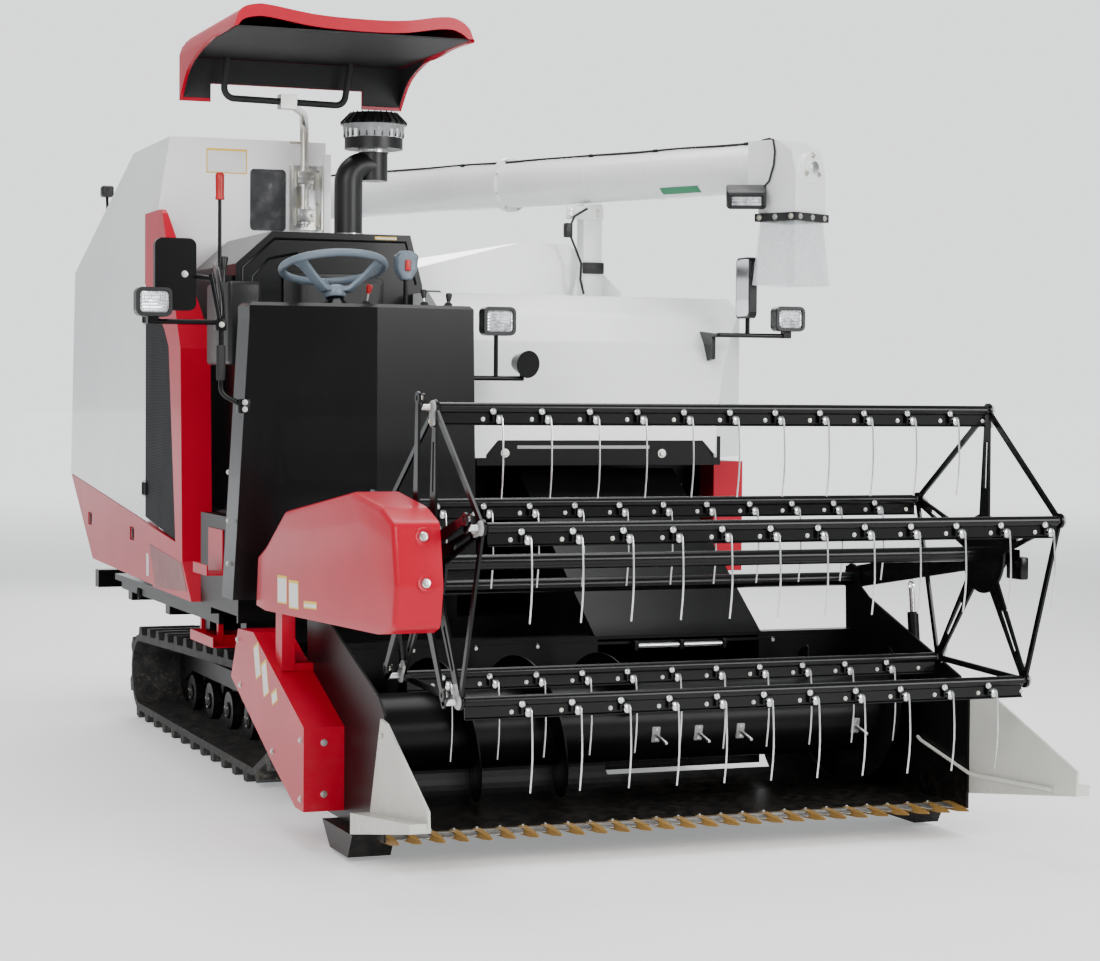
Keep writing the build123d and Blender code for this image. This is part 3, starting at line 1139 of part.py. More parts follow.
with BuildPart() as reel_cover:
    side_plate(REEL_COVER, REEL_COVER_X)
    with BuildSketch(Plane.YZ.offset(REEL_COVER_X[0] + REEL_COVER_WALL)):
        with BuildLine():
            Polyline(*REEL_COVER, close=True)
        make_face()
        offset(amount=-REEL_COVER_WALL, kind=Kind.INTERSECTION)
    extrude(amount=REEL_COVER_X[1] - REEL_COVER_X[0], mode=Mode.SUBTRACT)
    below = ((-1010, 700), (-1010, 745), (-1100, 740), (-2385, 775), (-2440, 775), (-2440, 700))
    side_plate(below, (REEL_COVER_X[0] + REEL_COVER_WALL, REEL_COVER_X[1]), 0, Mode.SUBTRACT)
    fillet(edges().filter_by(GeomType.LINE).group_by(Axis.X)[0], 9)
save(reel_cover.part, "reel_cover")

bat_angles = [REEL_PHASE + 360 / BAT_COUNT * index for index in range(BAT_COUNT)]
bat_places = [(hub_y + REEL_R * cos(radians(a)), hub_z + REEL_R * sin(radians(a))) for a in bat_angles]


def star(x, centre, points, half, thick_end, boss):
    """Arms from a centre to points in a side view, with a boss at each point."""
    cy, cz = centre
    for y, z in points:
        reach = hypot(y - cy, z - cz)
        ny, nz = -(z - cz) / reach, (y - cy) / reach
        outline = (
            (cy + ny * half, cz + nz * half), (y + ny * thick_end, z + nz * thick_end),
            (y - ny * thick_end, z - nz * thick_end), (cy - ny * half, cz - nz * half),
        )
        side_plate(outline, x)
        drum(x, y, z, boss)


with BuildPart() as reel_rotor:
    for x in SPIDERS:
        star(x, REEL_HUB, bat_places, 34, 14, 24)
        drum(x, *REEL_HUB, SPIDER_HUB_R)
        for (y1, z1), (y2, z2) in zip(bat_places, bat_places[1:] + bat_places[:1]):
            reach = hypot(y2 - y1, z2 - z1)
            ny, nz = -(z2 - z1) / reach * 10, (y2 - y1) / reach * 10
            side_plate(((y1 + ny, z1 + nz), (y2 + ny, z2 + nz), (y2 - ny, z2 - nz), (y1 - ny, z1 - nz)), x)
        for a, (y, z) in zip(bat_angles, bat_places):
            middle = (hub_y + REEL_R * 0.62 * cos(radians(a)), hub_z + REEL_R * 0.62 * sin(radians(a)))
            along = (cos(radians(a)) * 75, sin(radians(a)) * 75)
            across = (-sin(radians(a)) * 8, cos(radians(a)) * 8)
            slot = (
                (middle[0] - along[0] + across[0], middle[1] - along[1] + across[1]),
                (middle[0] + along[0] + across[0], middle[1] + along[1] + across[1]),
                (middle[0] + along[0] - across[0], middle[1] + along[1] - across[1]),
                (middle[0] - along[0] - across[0], middle[1] - along[1] - across[1]),
            )
            side_plate(slot, x, 0, Mode.SUBTRACT)
            drum(x, y, z, STUB_R + FIT, Mode.SUBTRACT)
    drum((ARM_RIGHT[0] - 5, ARM_LEFT[1] + 8), *REEL_HUB, SHAFT_R)
save(reel_rotor.part, "reel_rotor")

ring_places = [(y + ECCENTRIC[0], z + ECCENTRIC[1]) for y, z in bat_places]
ring_hub = (hub_y + ECCENTRIC[0], hub_z + ECCENTRIC[1])
with BuildPart() as control_ring:
    star(RING_X, ring_hub, ring_places, 26, 12, 20)
    drum(RING_X, *ring_hub, ECCENTRIC_R + 26)
    drum(RING_X, *ring_hub, ECCENTRIC_R + FIT, Mode.SUBTRACT)
    for y, z in ring_places:
        drum(RING_X, y, z, CRANK_PIN_R + FIT, Mode.SUBTRACT)
save(control_ring.part, "control_ring")

for index, (y, z) in enumerate(bat_places):
    with BuildPart() as bat:
        drum(BAT_X, y, z, BAT_R)
        drum((CRANK_X[0], BAT_X[0]), y, z, STUB_R)
        drum((BAT_X[1], SPIDERS[1][1] + 6), y, z, STUB_R)
        slab((BAT_X[0] + 4, BAT_X[1] - 4), (y - 2, y + 2), (z - BAT_R - 34, z - BAT_R + 2))
        pin = (y + ECCENTRIC[0], z + ECCENTRIC[1])
        star(CRANK_X, (y, z), [pin], 15, 13, 15)
        drum(CRANK_X, y, z, 17)
        drum((RING_X[0] - 4, CRANK_X[0]), *pin, CRANK_PIN_R)
        for number in range(12):
            x = TINE_FIRST[index] + number * TINE_PITCH
            if x > BAT_X[1] - 30:
                continue
            top = z - BAT_R - 18
            with BuildSketch(Plane.YZ.offset(x - 3)):
                with Locations((y - 12, top)):
                    RegularPolygon(15, 8)
            extrude(amount=22)
            tine = ((y - 24, top), (y - 33, top - 90), (y - 30, top - 170), (y - 16, top - TINE_REACH))
            edge = [(ty + 6, tz) for ty, tz in tine[::-1]]
            side_plate(tine + tuple(edge), (x + 8, x + 14))
    save(bat.part, f"reel_bat_{index + 1}")


# === hydraulic rams =======================================================================
def ram(name, base, eye, across, barrel_r, rod_r, barrel_end, rod_start, pin_r, eye_half):
    """Barrel and rod between two points, with eyes turned across them."""
    foot = Vector(*base)
    way = (Vector(*eye) - foot).normalized()
    reach = (Vector(*eye) - foot).length
    turn = Vector(*across).normalized()

    def at(distance):
        return tuple(foot + way * distance)

    def eye_ends(middle):
        return tuple(Vector(*middle) - turn * eye_half), tuple(Vector(*middle) + turn * eye_half)

    with BuildPart() as barrel:
        bar(at(0.7 * barrel_r), at(barrel_end), barrel_r)
        bar(*eye_ends(at(0)), barrel_r)
        bar(*eye_ends(at(0)), pin_r + FIT, Mode.SUBTRACT)
        bar(at(barrel_r + 16), at(barrel_end - 14), barrel_r - 6, Mode.SUBTRACT)
        bar(at(barrel_end - 20), at(barrel_end + 1), rod_r + FIT, Mode.SUBTRACT)
    save(barrel.part, f"{name}_barrel")
    with BuildPart() as rod:
        bar(at(rod_start), at(reach - rod_r), rod_r)
        bar(*eye_ends(at(reach)), barrel_r - 3)
        bar(*eye_ends(at(reach)), pin_r, Mode.SUBTRACT)
    save(rod.part, f"{name}_rod")


def ram_ends(x, ends):
    """Two points of a ram that lies in a side view at one X."""
    return (x, *ends[0]), (x, *ends[1])


sideways = (1, 0, 0)
(base_s, base_z), (tip_s, tip_z) = UNLOADER_RAM
unloader_ends = (on_pipe(base_s, 0, base_z), on_pipe(tip_s, 0, tip_z))
ram("header_ram", *ram_ends(mid(RAM_X), (RAM_BASE, RAM_EYE)), sideways, 28, 14, 450, 75, RAM_PIN_R, 25)
ram("reel_ram", *ram_ends(mid(REEL_RAM_X), REEL_RAM), sideways, 20, 10, 312, 110, 12, 4)
ram("unloader_ram", *unloader_ends, tuple(pipe_side), 22, 11, 290, 88, 9, 22)
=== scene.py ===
"""Tracked rice combine: finishes, fine pieces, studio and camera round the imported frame."""
import logging
import math
from collections.abc import Callable, Iterable
from dataclasses import dataclass
from enum import Enum

import bmesh
import bpy
from mathutils import Matrix, Vector


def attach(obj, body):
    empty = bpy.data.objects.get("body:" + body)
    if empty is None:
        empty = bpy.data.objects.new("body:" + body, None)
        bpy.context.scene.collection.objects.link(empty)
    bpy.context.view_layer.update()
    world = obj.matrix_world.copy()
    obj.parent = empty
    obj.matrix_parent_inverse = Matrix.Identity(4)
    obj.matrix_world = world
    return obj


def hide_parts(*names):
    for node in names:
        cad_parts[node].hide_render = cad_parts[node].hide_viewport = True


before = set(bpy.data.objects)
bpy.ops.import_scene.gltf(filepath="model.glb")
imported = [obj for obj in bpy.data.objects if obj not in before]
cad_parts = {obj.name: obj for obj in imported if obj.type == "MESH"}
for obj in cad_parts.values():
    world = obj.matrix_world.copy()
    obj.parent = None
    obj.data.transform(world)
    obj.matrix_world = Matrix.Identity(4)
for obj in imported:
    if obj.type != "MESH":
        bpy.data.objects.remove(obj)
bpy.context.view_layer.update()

LOG = logging.getLogger("combine")
Point = tuple[float, float, float]
Colour = tuple[float, float, float]
Flat = tuple[float, float]
Slope = tuple[float, float, float, float]  # start, end, value at the start, value at the end


# --- shader maths ---------------------------------------------------------------------
class Signal:
    """A shader socket that takes part in Python arithmetic."""

    def __init__(self, tree: "Tree", socket: bpy.types.NodeSocket) -> None:
        """Wrap a socket of a tree."""
        self.tree = tree
        self.socket = socket

    def math(self, operation: str, first: object, second: object = 0.0) -> "Signal":
        """Add one Math node."""
        return self.tree.node("ShaderNodeMath", {"operation": operation}, {0: first, 1: second})

    def __add__(self, other: object) -> "Signal":
        """Sum."""
        return self.math("ADD", self, other)

    __radd__ = __add__

    def __sub__(self, other: object) -> "Signal":
        """Difference."""
        return self.math("SUBTRACT", self, other)

    def __rsub__(self, other: object) -> "Signal":
        """Difference, reflected."""
        return self.math("SUBTRACT", other, self)

    def __mul__(self, other: object) -> "Signal":
        """Product."""
        return self.math("MULTIPLY", self, other)

    def off_middle(self) -> "Signal":
        """Distance of the fraction part from a half."""
        return self.math("ABSOLUTE", self.math("FRACT", self) - 0.5)


class Tree:
    """Node tree of a material or a world, with one generic way of adding nodes."""

    def __init__(self, owner: bpy.types.ID, place: str = "Object") -> None:
        """Empty the tree of a datablock.

        Args:
            owner: The material or world.
            place: The texture coordinates that its patterns lie on.
        """
        owner.use_nodes = True
        self.owner = owner
        self.nodes = owner.node_tree.nodes
        self.links = owner.node_tree.links
        self.nodes.clear()
        self.place = self.node("ShaderNodeTexCoord", output=place)

    def node(
        self, kind: str, settings: dict | None = None, values: dict | None = None, output: str | int = 0
    ) -> Signal:
        """Add a node.

        Args:
            kind: The node's type.
            settings: Attributes that are set first.
            values: Socket names or numbers, with a value or a Signal for each.
            output: Name or number of the socket that is returned.

        Returns:
            The chosen output.
        """
        made = self.nodes.new(kind)
        for key, value in (settings or {}).items():
            setattr(made, key, value)
        for key, value in (values or {}).items():
            if isinstance(value, Signal):
                self.links.new(value.socket, made.inputs[key])
            else:
                made.inputs[key].default_value = value
        return Signal(self, made.outputs[output])

    def noise(
        self, scale: float, detail: float, rough: float = 0.55, place: Signal | None = None
    ) -> Signal:
        """Noise from 0 to 1."""
        values = {"Vector": place or self.place, "Scale": scale, "Detail": detail, "Roughness": rough}
        return self.node("ShaderNodeTexNoise", None, values, "Fac")

    def cells(self, scale: float, feature: str = "F1") -> Signal:
        """Distance from the middles of small cells."""
        values = {"Vector": self.place, "Scale": scale}
        return self.node("ShaderNodeTexVoronoi", {"feature": feature}, values, "Distance")

    def ramp(self, factor: Signal, low: float, high: float) -> Signal:
        """Rise smoothly from 0 to 1 between two values of a factor."""
        values = {"Value": factor, "From Min": low, "From Max": high}
        return self.node("ShaderNodeMapRange", {"interpolation_type": "SMOOTHSTEP"}, values, "Result")

    def patches(self, scale: float, detail: float, low: float, high: float) -> Signal:
        """Soft patches from 0 to 1."""
        return self.ramp(self.noise(scale, detail), low, high)

    def slope(self, way: Point, rule: Slope) -> Signal:
        """Rise evenly along a way.

        Args:
            way: Direction of the rise.
            rule: Where it starts and ends, and the value at both.

        Returns:
            The value.
        """
        settings = {"operation": "DOT_PRODUCT"}
        reach = self.node("ShaderNodeVectorMath", settings, {0: self.place, 1: way}, "Value")
        values = dict(zip(("Value", "From Min", "From Max", "To Min", "To Max"), (reach, *rule)))
        return self.node("ShaderNodeMapRange", None, values, "Result")

    def mix(self, factor: object, first: object, second: object) -> Signal:
        """Mix two colours.

        Args:
            factor: Share of the second colour, from 0 to 1.
            first: Colour, or a link to one.
            second: Colour, or a link to one.

        Returns:
            The mixed colour.
        """
        sockets = {0: factor}
        for key, shade in ((6, first), (7, second)):
            sockets[key] = (*shade, 1.0) if isinstance(shade, tuple) else shade
        return self.node("ShaderNodeMix", {"data_type": "RGBA"}, sockets, 2)

    def axis(self, name: str) -> Signal:
        """One of the object's coordinates, X, Y or Z, in metres."""
        return self.node("ShaderNodeSeparateXYZ", None, {0: self.place}, name)

    def bump(self, height: Signal, strength: float, distance: float) -> Signal:
        """Normal from a height."""
        values = {"Height": height, "Strength": strength, "Distance": distance}
        return self.node("ShaderNodeBump", None, values)

    def close(self, shader: Signal, output: str) -> None:
        """Lead a shader to the tree's output."""
        self.links.new(shader.socket, self.nodes.new(output).inputs["Surface"])

    def finish(self, **values: object) -> bpy.types.Material:
        """Close a material's tree with one Principled shader.

        Args:
            values: Its sockets, with spaces written as underscores.

        Returns:
            The finished material.
        """
        sockets = {}
        for key, value in values.items():
            sockets[key.replace("_", " ")] = (*value, 1.0) if isinstance(value, tuple) else value
        self.close(self.node("ShaderNodeBsdfPrincipled", None, sockets), "ShaderNodeOutputMaterial")
        return self.owner


# --- finishes -------------------------------------------------------------------------
@dataclass(frozen=True)
class Finish:
    """A named procedural finish."""

    name: str

    def sockets(self, tree: Tree) -> dict[str, object]:
        """Work out what the finish feeds to its shader.

        Args:
            tree: The material's tree.

        Returns:
            Socket names, with underscores for spaces, and their values.
        """
        raise NotImplementedError

    def material(self) -> bpy.types.Material:
        """Build the material."""
        tree = Tree(bpy.data.materials.new(self.name))
        return tree.finish(**self.sockets(tree))


@dataclass(frozen=True)
class Paint(Finish):
    """Sprayed paint: colour, gloss, orange peel, and dust that settles low down."""

    colour: Colour
    shade: Colour
    roughness: float = 0.22
    coat: float = 0.6
    peel: float = 0.05
    dust: float = 0.0
    dust_top: float = 0.9
    specular: float = 0.5
    dust_colour: Colour = (0.26, 0.21, 0.15)

    def sockets(self, tree: Tree) -> dict[str, object]:
        """Cloud the colour, dust it low down and add the peel.

        Args:
            tree: Node tree of the finish's material.

        Returns:
            Values and links of the shader's sockets, by name.
        """
        cloud = tree.noise(2.6, 4.0)
        fine = tree.noise(160.0, 2.0)
        base = tree.mix(tree.ramp(cloud, 0.3, 0.75), self.colour, self.shade)
        height = tree.ramp(tree.axis("Z") + cloud * 0.25, 0.02, self.dust_top)
        grime = (1.0 - height) * tree.patches(34.0, 6.0, 0.36, 0.7) * self.dust
        return {
            "Base_Color": tree.mix(grime, base, self.dust_colour),
            "Roughness": self.roughness + cloud * 0.05 + fine * 0.03 + grime * 0.5,
            "Normal": tree.bump(tree.noise(420.0, 1.0) * 0.6 + fine, self.peel, 0.0004),
            "Coat_Weight": self.coat,
            "Coat_Roughness": 0.06,
            "Specular_IOR_Level": self.specular,
        }


@dataclass(frozen=True)
class Metal(Finish):
    """Bare or plated metal with fine scratches and passivation tints."""

    colour: Colour
    tint: Colour
    roughness: float = 0.28
    grain: Point = (60.0, 60.0, 60.0)

    def sockets(self, tree: Tree) -> dict[str, object]:
        """Tint the metal in patches and scratch it along its grain.

        Args:
            tree: Node tree of the finish's material.

        Returns:
            Values and links of the shader's sockets, by name.
        """
        values = {"Vector": tree.place, "Scale": self.grain}
        along = tree.node("ShaderNodeMapping", {"vector_type": "POINT"}, values)
        scratch = tree.noise(6.0, 4.0, 0.7, along)
        return {
            "Base_Color": tree.mix(tree.patches(24.0, 4.0, 0.35, 0.7), self.colour, self.tint),
            "Roughness": self.roughness + scratch * 0.16,
            "Metallic": 1.0,
            "Normal": tree.bump(scratch, 0.12, 0.0004),
        }


@dataclass(frozen=True)
class Rubber(Finish):
    """Matt rubber, moulded or worn, with pale dust in its pores."""

    colour: Colour = (0.018, 0.018, 0.019)
    worn: Colour = (0.060, 0.057, 0.052)
    roughness: float = 0.62
    dust: float = 0.35
    dust_colour: Colour = (0.30, 0.25, 0.18)

    def sockets(self, tree: Tree) -> dict[str, object]:
        """Wear the rubber in patches and dust its pores low down.

        Args:
            tree: Node tree of the finish's material.

        Returns:
            Values and links of the shader's sockets, by name.
        """
        wear = tree.patches(16.0, 6.0, 0.42, 0.72)
        base = tree.mix(wear * 0.7, self.colour, self.worn)
        low = 1.0 - tree.ramp(tree.axis("Z"), 0.02, 0.45)
        pores = tree.patches(70.0, 5.0, 0.5, 0.75)
        return {
            "Base_Color": tree.mix(low * pores * self.dust, base, self.dust_colour),
            "Roughness": self.roughness + wear * 0.2,
            "Normal": tree.bump(tree.noise(240.0, 3.0) + wear * 0.4, 0.3, 0.0008),
            "Specular_IOR_Level": 0.35,
        }


@dataclass(frozen=True)
class Plastic(Finish):
    """Moulded plastic with a fine spark-eroded grain."""

    colour: Colour
    shade: Colour
    roughness: float = 0.42
    grain: float = 0.2
    grain_scale: float = 900.0

    def sockets(self, tree: Tree) -> dict[str, object]:
        """Cloud the colour and grain the skin.

        Args:
            tree: Node tree of the finish's material.

        Returns:
            Values and links of the shader's sockets, by name.
        """
        cloud = tree.noise(9.0, 4.0)
        return {
            "Base_Color": tree.mix(tree.ramp(cloud, 0.35, 0.7), self.colour, self.shade),
            "Roughness": self.roughness + cloud * 0.1,
            "Normal": tree.bump(tree.cells(self.grain_scale), self.grain, 0.0004),
            "Specular_IOR_Level": 0.45,
        }


@dataclass(frozen=True)
class Clear(Finish):
    """See-through plastic or glass with a faint haze."""

    colour: Colour
    alpha: float
    roughness: float = 0.06

    def sockets(self, tree: Tree) -> dict[str, object]:
        """Haze the sheet in patches.

        Args:
            tree: Node tree of the finish's material.

        Returns:
            Values and links of the shader's sockets, by name.
        """
        haze = tree.patches(14.0, 5.0, 0.35, 0.75)
        paler = tuple(min(1.0, c * 1.12 + 0.02) for c in self.colour)
        return {
            "Base_Color": tree.mix(haze, self.colour, paler),
            "Roughness": self.roughness + haze * 0.08,
            "Alpha": self.alpha + haze * 0.08,
            "Specular_IOR_Level": 0.7,
            "Coat_Weight": 0.3,
        }


@dataclass(frozen=True)
class Screen(Finish):
    """Dark sheet punched with round holes in a staggered grid, each hole painted near-black as the shade
    inside it.
    """

    pitch: float = 0.006
    sheet: Colour = (0.020, 0.021, 0.023)
    # near-black painted shade inside each hole
    depth: Colour = (0.002, 0.002, 0.002)

    def sockets(self, tree: Tree) -> dict[str, object]:
        """Paint shade into each hole and sink it.

        Args:
            tree: Node tree of the finish's material.

        Returns:
            Values and links of the shader's sockets, by name.
        """
        across, up = ((tree.axis(name) * (1.0 / self.pitch)).off_middle() for name in "YZ")
        hole = 1.0 - tree.ramp(across * across + up * up, 0.05, 0.12)
        return {
            # the holes take the painted shade colour
            "Base_Color": tree.mix(hole, self.sheet, self.depth),
            "Roughness": 0.5 + tree.noise(5.0, 4.0) * 0.15 + hole * 0.3,
            "Normal": tree.bump(1.0 - hole, 0.6, 0.001),
            "Specular_IOR_Level": 0.12,
        }


@dataclass(frozen=True)
class Lens(Finish):
    """Ribbed lamp lens over a bright reflector, with so many ribs to a metre each way."""

    bright: Colour = (0.80, 0.83, 0.85)
    dim: Colour = (0.34, 0.37, 0.40)
    ribs: Flat = (130.0, 90.0)

    def sockets(self, tree: Tree) -> dict[str, object]:
        """Shade the reflector in cells and rib the glass both ways.

        Args:
            tree: Node tree of the finish's material.

        Returns:
            Values and links of the shader's sockets, by name.
        """
        cell = tree.patches(40.0, 3.0, 0.35, 0.7)
        across, up = ((tree.axis(name) * count).off_middle() for name, count in zip("XZ", self.ribs))
        return {
            "Base_Color": tree.mix(cell, self.bright, self.dim),
            "Metallic": 0.55,
            "Roughness": 0.09 + cell * 0.1,
            "Normal": tree.bump(across + up, 0.8, 0.003),
            "Coat_Weight": 1.0,
            "Coat_Roughness": 0.03,
        }


@dataclass(frozen=True)
class Vinyl(Finish):
    """Seat vinyl with a pebbled grain."""

    colour: Colour = (0.016, 0.016, 0.017)
    shade: Colour = (0.035, 0.034, 0.034)

    def sockets(self, tree: Tree) -> dict[str, object]:
        """Pebble the skin and let it shine unevenly.

        Args:
            tree: Node tree of the finish's material.

        Returns:
            Values and links of the shader's sockets, by name.
        """
        soft = tree.patches(7.0, 4.0, 0.3, 0.7)
        return {
            "Base_Color": tree.mix(soft, self.colour, self.shade),
            "Roughness": 0.44 + soft * 0.14,
            "Normal": tree.bump(tree.cells(420.0, "SMOOTH_F1"), 0.5, 0.0007),
            "Specular_IOR_Level": 0.4,
        }


RED = Paint("red_gloss", (0.46, 0.0, 0.020), (0.40, 0.0, 0.016), 0.28, 0.10, 0.05, 0.06, 0.8, 0.18)
WHITE = Paint("white_gloss", (0.87, 0.88, 0.88), (0.82, 0.83, 0.84), 0.26, 0.4, 0.05, 0.06, 0.8, 0.4)
BLACK = Paint(
    "black_gloss", (0.0015, 0.0015, 0.0018), (0.003, 0.003, 0.0034), 0.22, 0.08, 0.05, 0.0, 0.6, 0.2
)
FRAME_BLACK = Paint(
    "black_frame", (0.0018, 0.0018, 0.0021), (0.004, 0.004, 0.0044), 0.30, 0.0, 0.12, 0.08, 0.5, 0.16
)
CREAM = Paint("cream_satin", (0.60, 0.60, 0.55), (0.52, 0.52, 0.47), 0.38, 0.2, 0.1, 0.45, 0.5)
OCHRE = Paint("ochre_castings", (0.30, 0.165, 0.025), (0.20, 0.105, 0.018), 0.5, 0.1, 0.3, 0.2, 0.3)
CAST = Paint("pale_castings", (0.40, 0.41, 0.40), (0.30, 0.31, 0.30), 0.42, 0.1, 0.3)
ZINC = Metal("zinc_plate", (0.60, 0.61, 0.62), (0.72, 0.70, 0.60))
CHROME = Metal("chrome_rod", (0.75, 0.75, 0.76), (0.68, 0.69, 0.71), 0.10, (4.0, 4.0, 90.0))
STEEL = Metal("worn_steel", (0.34, 0.33, 0.31), (0.20, 0.19, 0.18), 0.38)
BRIGHT = Metal("bright_zinc", (0.72, 0.73, 0.74), (0.60, 0.60, 0.58), 0.20)
SILVERED = Metal("mirror_face", (0.82, 0.84, 0.86), (0.80, 0.82, 0.84), 0.03)
TRACK_RUBBER = Rubber("track_rubber")
SOFT_RUBBER = Rubber("soft_rubber", (0.012, 0.012, 0.013), (0.03, 0.03, 0.03), 0.55, 0.0)
BLACK_PLASTIC = Plastic("black_plastic", (0.004, 0.004, 0.0045), (0.008, 0.008, 0.0085), 0.36, 0.15)
# near-black matt finish given to the canopy's underside and the insides of its skirts
CANOPY_UNDERSIDE = Plastic("canopy_underside_black", (0.007, 0.007, 0.008), (0.013, 0.013, 0.014), 0.62, 0.5, 500.0)
GRIP_BLUE = Plastic("blue_grey_grip", (0.145, 0.185, 0.225), (0.11, 0.145, 0.18), 0.34, 0.15)
RED_PLASTIC = Plastic("red_plastic", (0.50, 0.012, 0.012), (0.42, 0.010, 0.010), 0.3, 0.1)
REFLECTOR = Plastic("dark_red_decal", (0.20, 0.004, 0.010), (0.16, 0.003, 0.008), 0.3, 0.05)
YELLOW = Plastic("yellow_label", (0.75, 0.50, 0.02), (0.70, 0.46, 0.02), 0.4, 0.05)
PALE_LABEL = Plastic("pale_label", (0.72, 0.73, 0.72), (0.66, 0.67, 0.66), 0.4, 0.05)
GREEN_LABEL = Plastic("green_label", (0.02, 0.22, 0.10), (0.02, 0.19, 0.08), 0.4, 0.05)
CLEAR_PLASTIC = Clear("clear_plastic", (0.80, 0.83, 0.84), 0.30)
SMOKED = Clear("smoked_pane", (0.035, 0.037, 0.04), 0.86)
SCREEN = Screen("punched_screen")
LENS = Lens("lamp_lens")
VINYL = Vinyl("seat_vinyl")

NODE_FINISH: dict[Finish, str] = {
    RED: "side_cover_rear side_pillar lower_step upper_step canopy lower_cover_left header_cover "
    "reel_cover",
    WHITE: "unloader_base grain_tank tank_lid front_cover side_cover_left unloader_turret unloader_pipe",
    BLACK: "engine_hood front_column reel_arms reel_rotor control_ring reel_bat_1 reel_bat_2 reel_bat_3 "
    "reel_bat_4 reel_bat_5 mirror_right mirror_left lamp_centre",
    FRAME_BLACK: "chassis_frame platform thresher straw_hood header_frame feeder_house header_auger "
    "track_frame_right track_frame_left transmission engine_block header_ram_barrel reel_ram_barrel "
    "unloader_ram_barrel",
    CREAM: "divider_right divider_left",
    OCHRE: "cutterbar",
    ZINC: "canopy_post",
    CHROME: "header_ram_rod reel_ram_rod unloader_ram_rod",
    TRACK_RUBBER: "track_right track_left",
    BLACK_PLASTIC: "intake_pipe",
    SOFT_RUBBER: "spout_band",
    CANOPY_UNDERSIDE: "canopy_liner",
    GRIP_BLUE: "steering_wheel",
    VINYL: "seat",
    CLEAR_PLASTIC: "intake_bowl spout_hood",
    SMOKED: "tank_window",
    SCREEN: "screen_door",
}


class Wardrobe:
    """Makes each finish once and puts it on the CAD nodes."""

    def __init__(self) -> None:
        """Start with no material made."""
        self.made: dict[Finish, bpy.types.Material] = {}

    def get(self, finish: Finish) -> bpy.types.Material:
        """Material of a finish, made at its first use.

        Args:
            finish: Finish to look up.

        Returns:
            The one material that all its wearers share.
        """
        if finish not in self.made:
            self.made[finish] = finish.material()
        return self.made[finish]

    def dress_nodes(self) -> None:
        """Put every CAD node's finish on it."""
        for finish, names in NODE_FINISH.items():
            for name in names.split():
                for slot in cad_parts[name].material_slots:
                    slot.material = self.get(finish)
                LOG.info("node %s wears %s", name, finish.name)


WARDROBE = Wardrobe()


# --- modelling bench ------------------------------------------------------------------
MM = 0.001  # metres in a millimetre
MERGE = 0.001  # points closer than this are one, in millimetres
FACING = 0.9  # a face looks along an axis when its normal has this much of it
BOLT_TURN = 17.0  # each bolt's head is turned this much further, in degrees
SHARP = 35.0  # edges sharper than this stay sharp, in degrees
LEFT, RIGHT, FRONT, UP = (1, 0, 0), (-1, 0, 0), (0, -1, 0), (0, 0, 1)
Rule = Callable[[Vector, Vector], bool]


class Pick(Enum):
    """Kinds of mesh elements that a rule can pick."""

    VERT = "VERT"
    EDGE = "EDGE"
    FACE = "FACE"


def everything(centre: Vector, way: Vector) -> bool:
    """Rule that picks all."""
    return True


def faces_front(centre: Vector, normal: Vector) -> bool:
    """Rule that picks the faces to the front."""
    return normal.y < -FACING


def aim(place: Point, way: Point = UP, turn: float = 0.0) -> Matrix:
    """Matrix that sets a shape down at a place with its own Z along a way."""
    lean = Vector(way).to_track_quat("Z", "Y").to_matrix().to_4x4()
    return Matrix.Translation(place) @ lean @ spin(turn)


def spin(degrees: float, axis: str = "Z") -> Matrix:
    """Turn about an axis."""
    return Matrix.Rotation(math.radians(degrees), 4, axis)


def shift(x: float, y: float, z: float) -> Matrix:
    """Move without a turn."""
    return Matrix.Translation((x, y, z))


def circle(centre: Point, radius: float, turns: Iterable[float]) -> list[Point]:
    """Points round a centre in the side view, at angles in radians from the rear."""
    x, y, z = centre
    return [(x, y + radius * math.cos(turn), z + radius * math.sin(turn)) for turn in turns]


def focus(item: bpy.types.Object) -> None:
    """Make an object the only selected and active one.

    Args:
        item: Object to select.
    """
    bpy.ops.object.select_all(action="DESELECT")
    bpy.context.view_layer.objects.active = item
    item.select_set(True)


def stand(data: bpy.types.ID) -> bpy.types.Object:
    """Put a datablock into the scene as an object of its own name.

    Args:
        data: Mesh, curve, camera or light.

    Returns:
        The new object.
    """
    item = bpy.data.objects.new(data.name, data)
    bpy.context.scene.collection.objects.link(item)
    return item


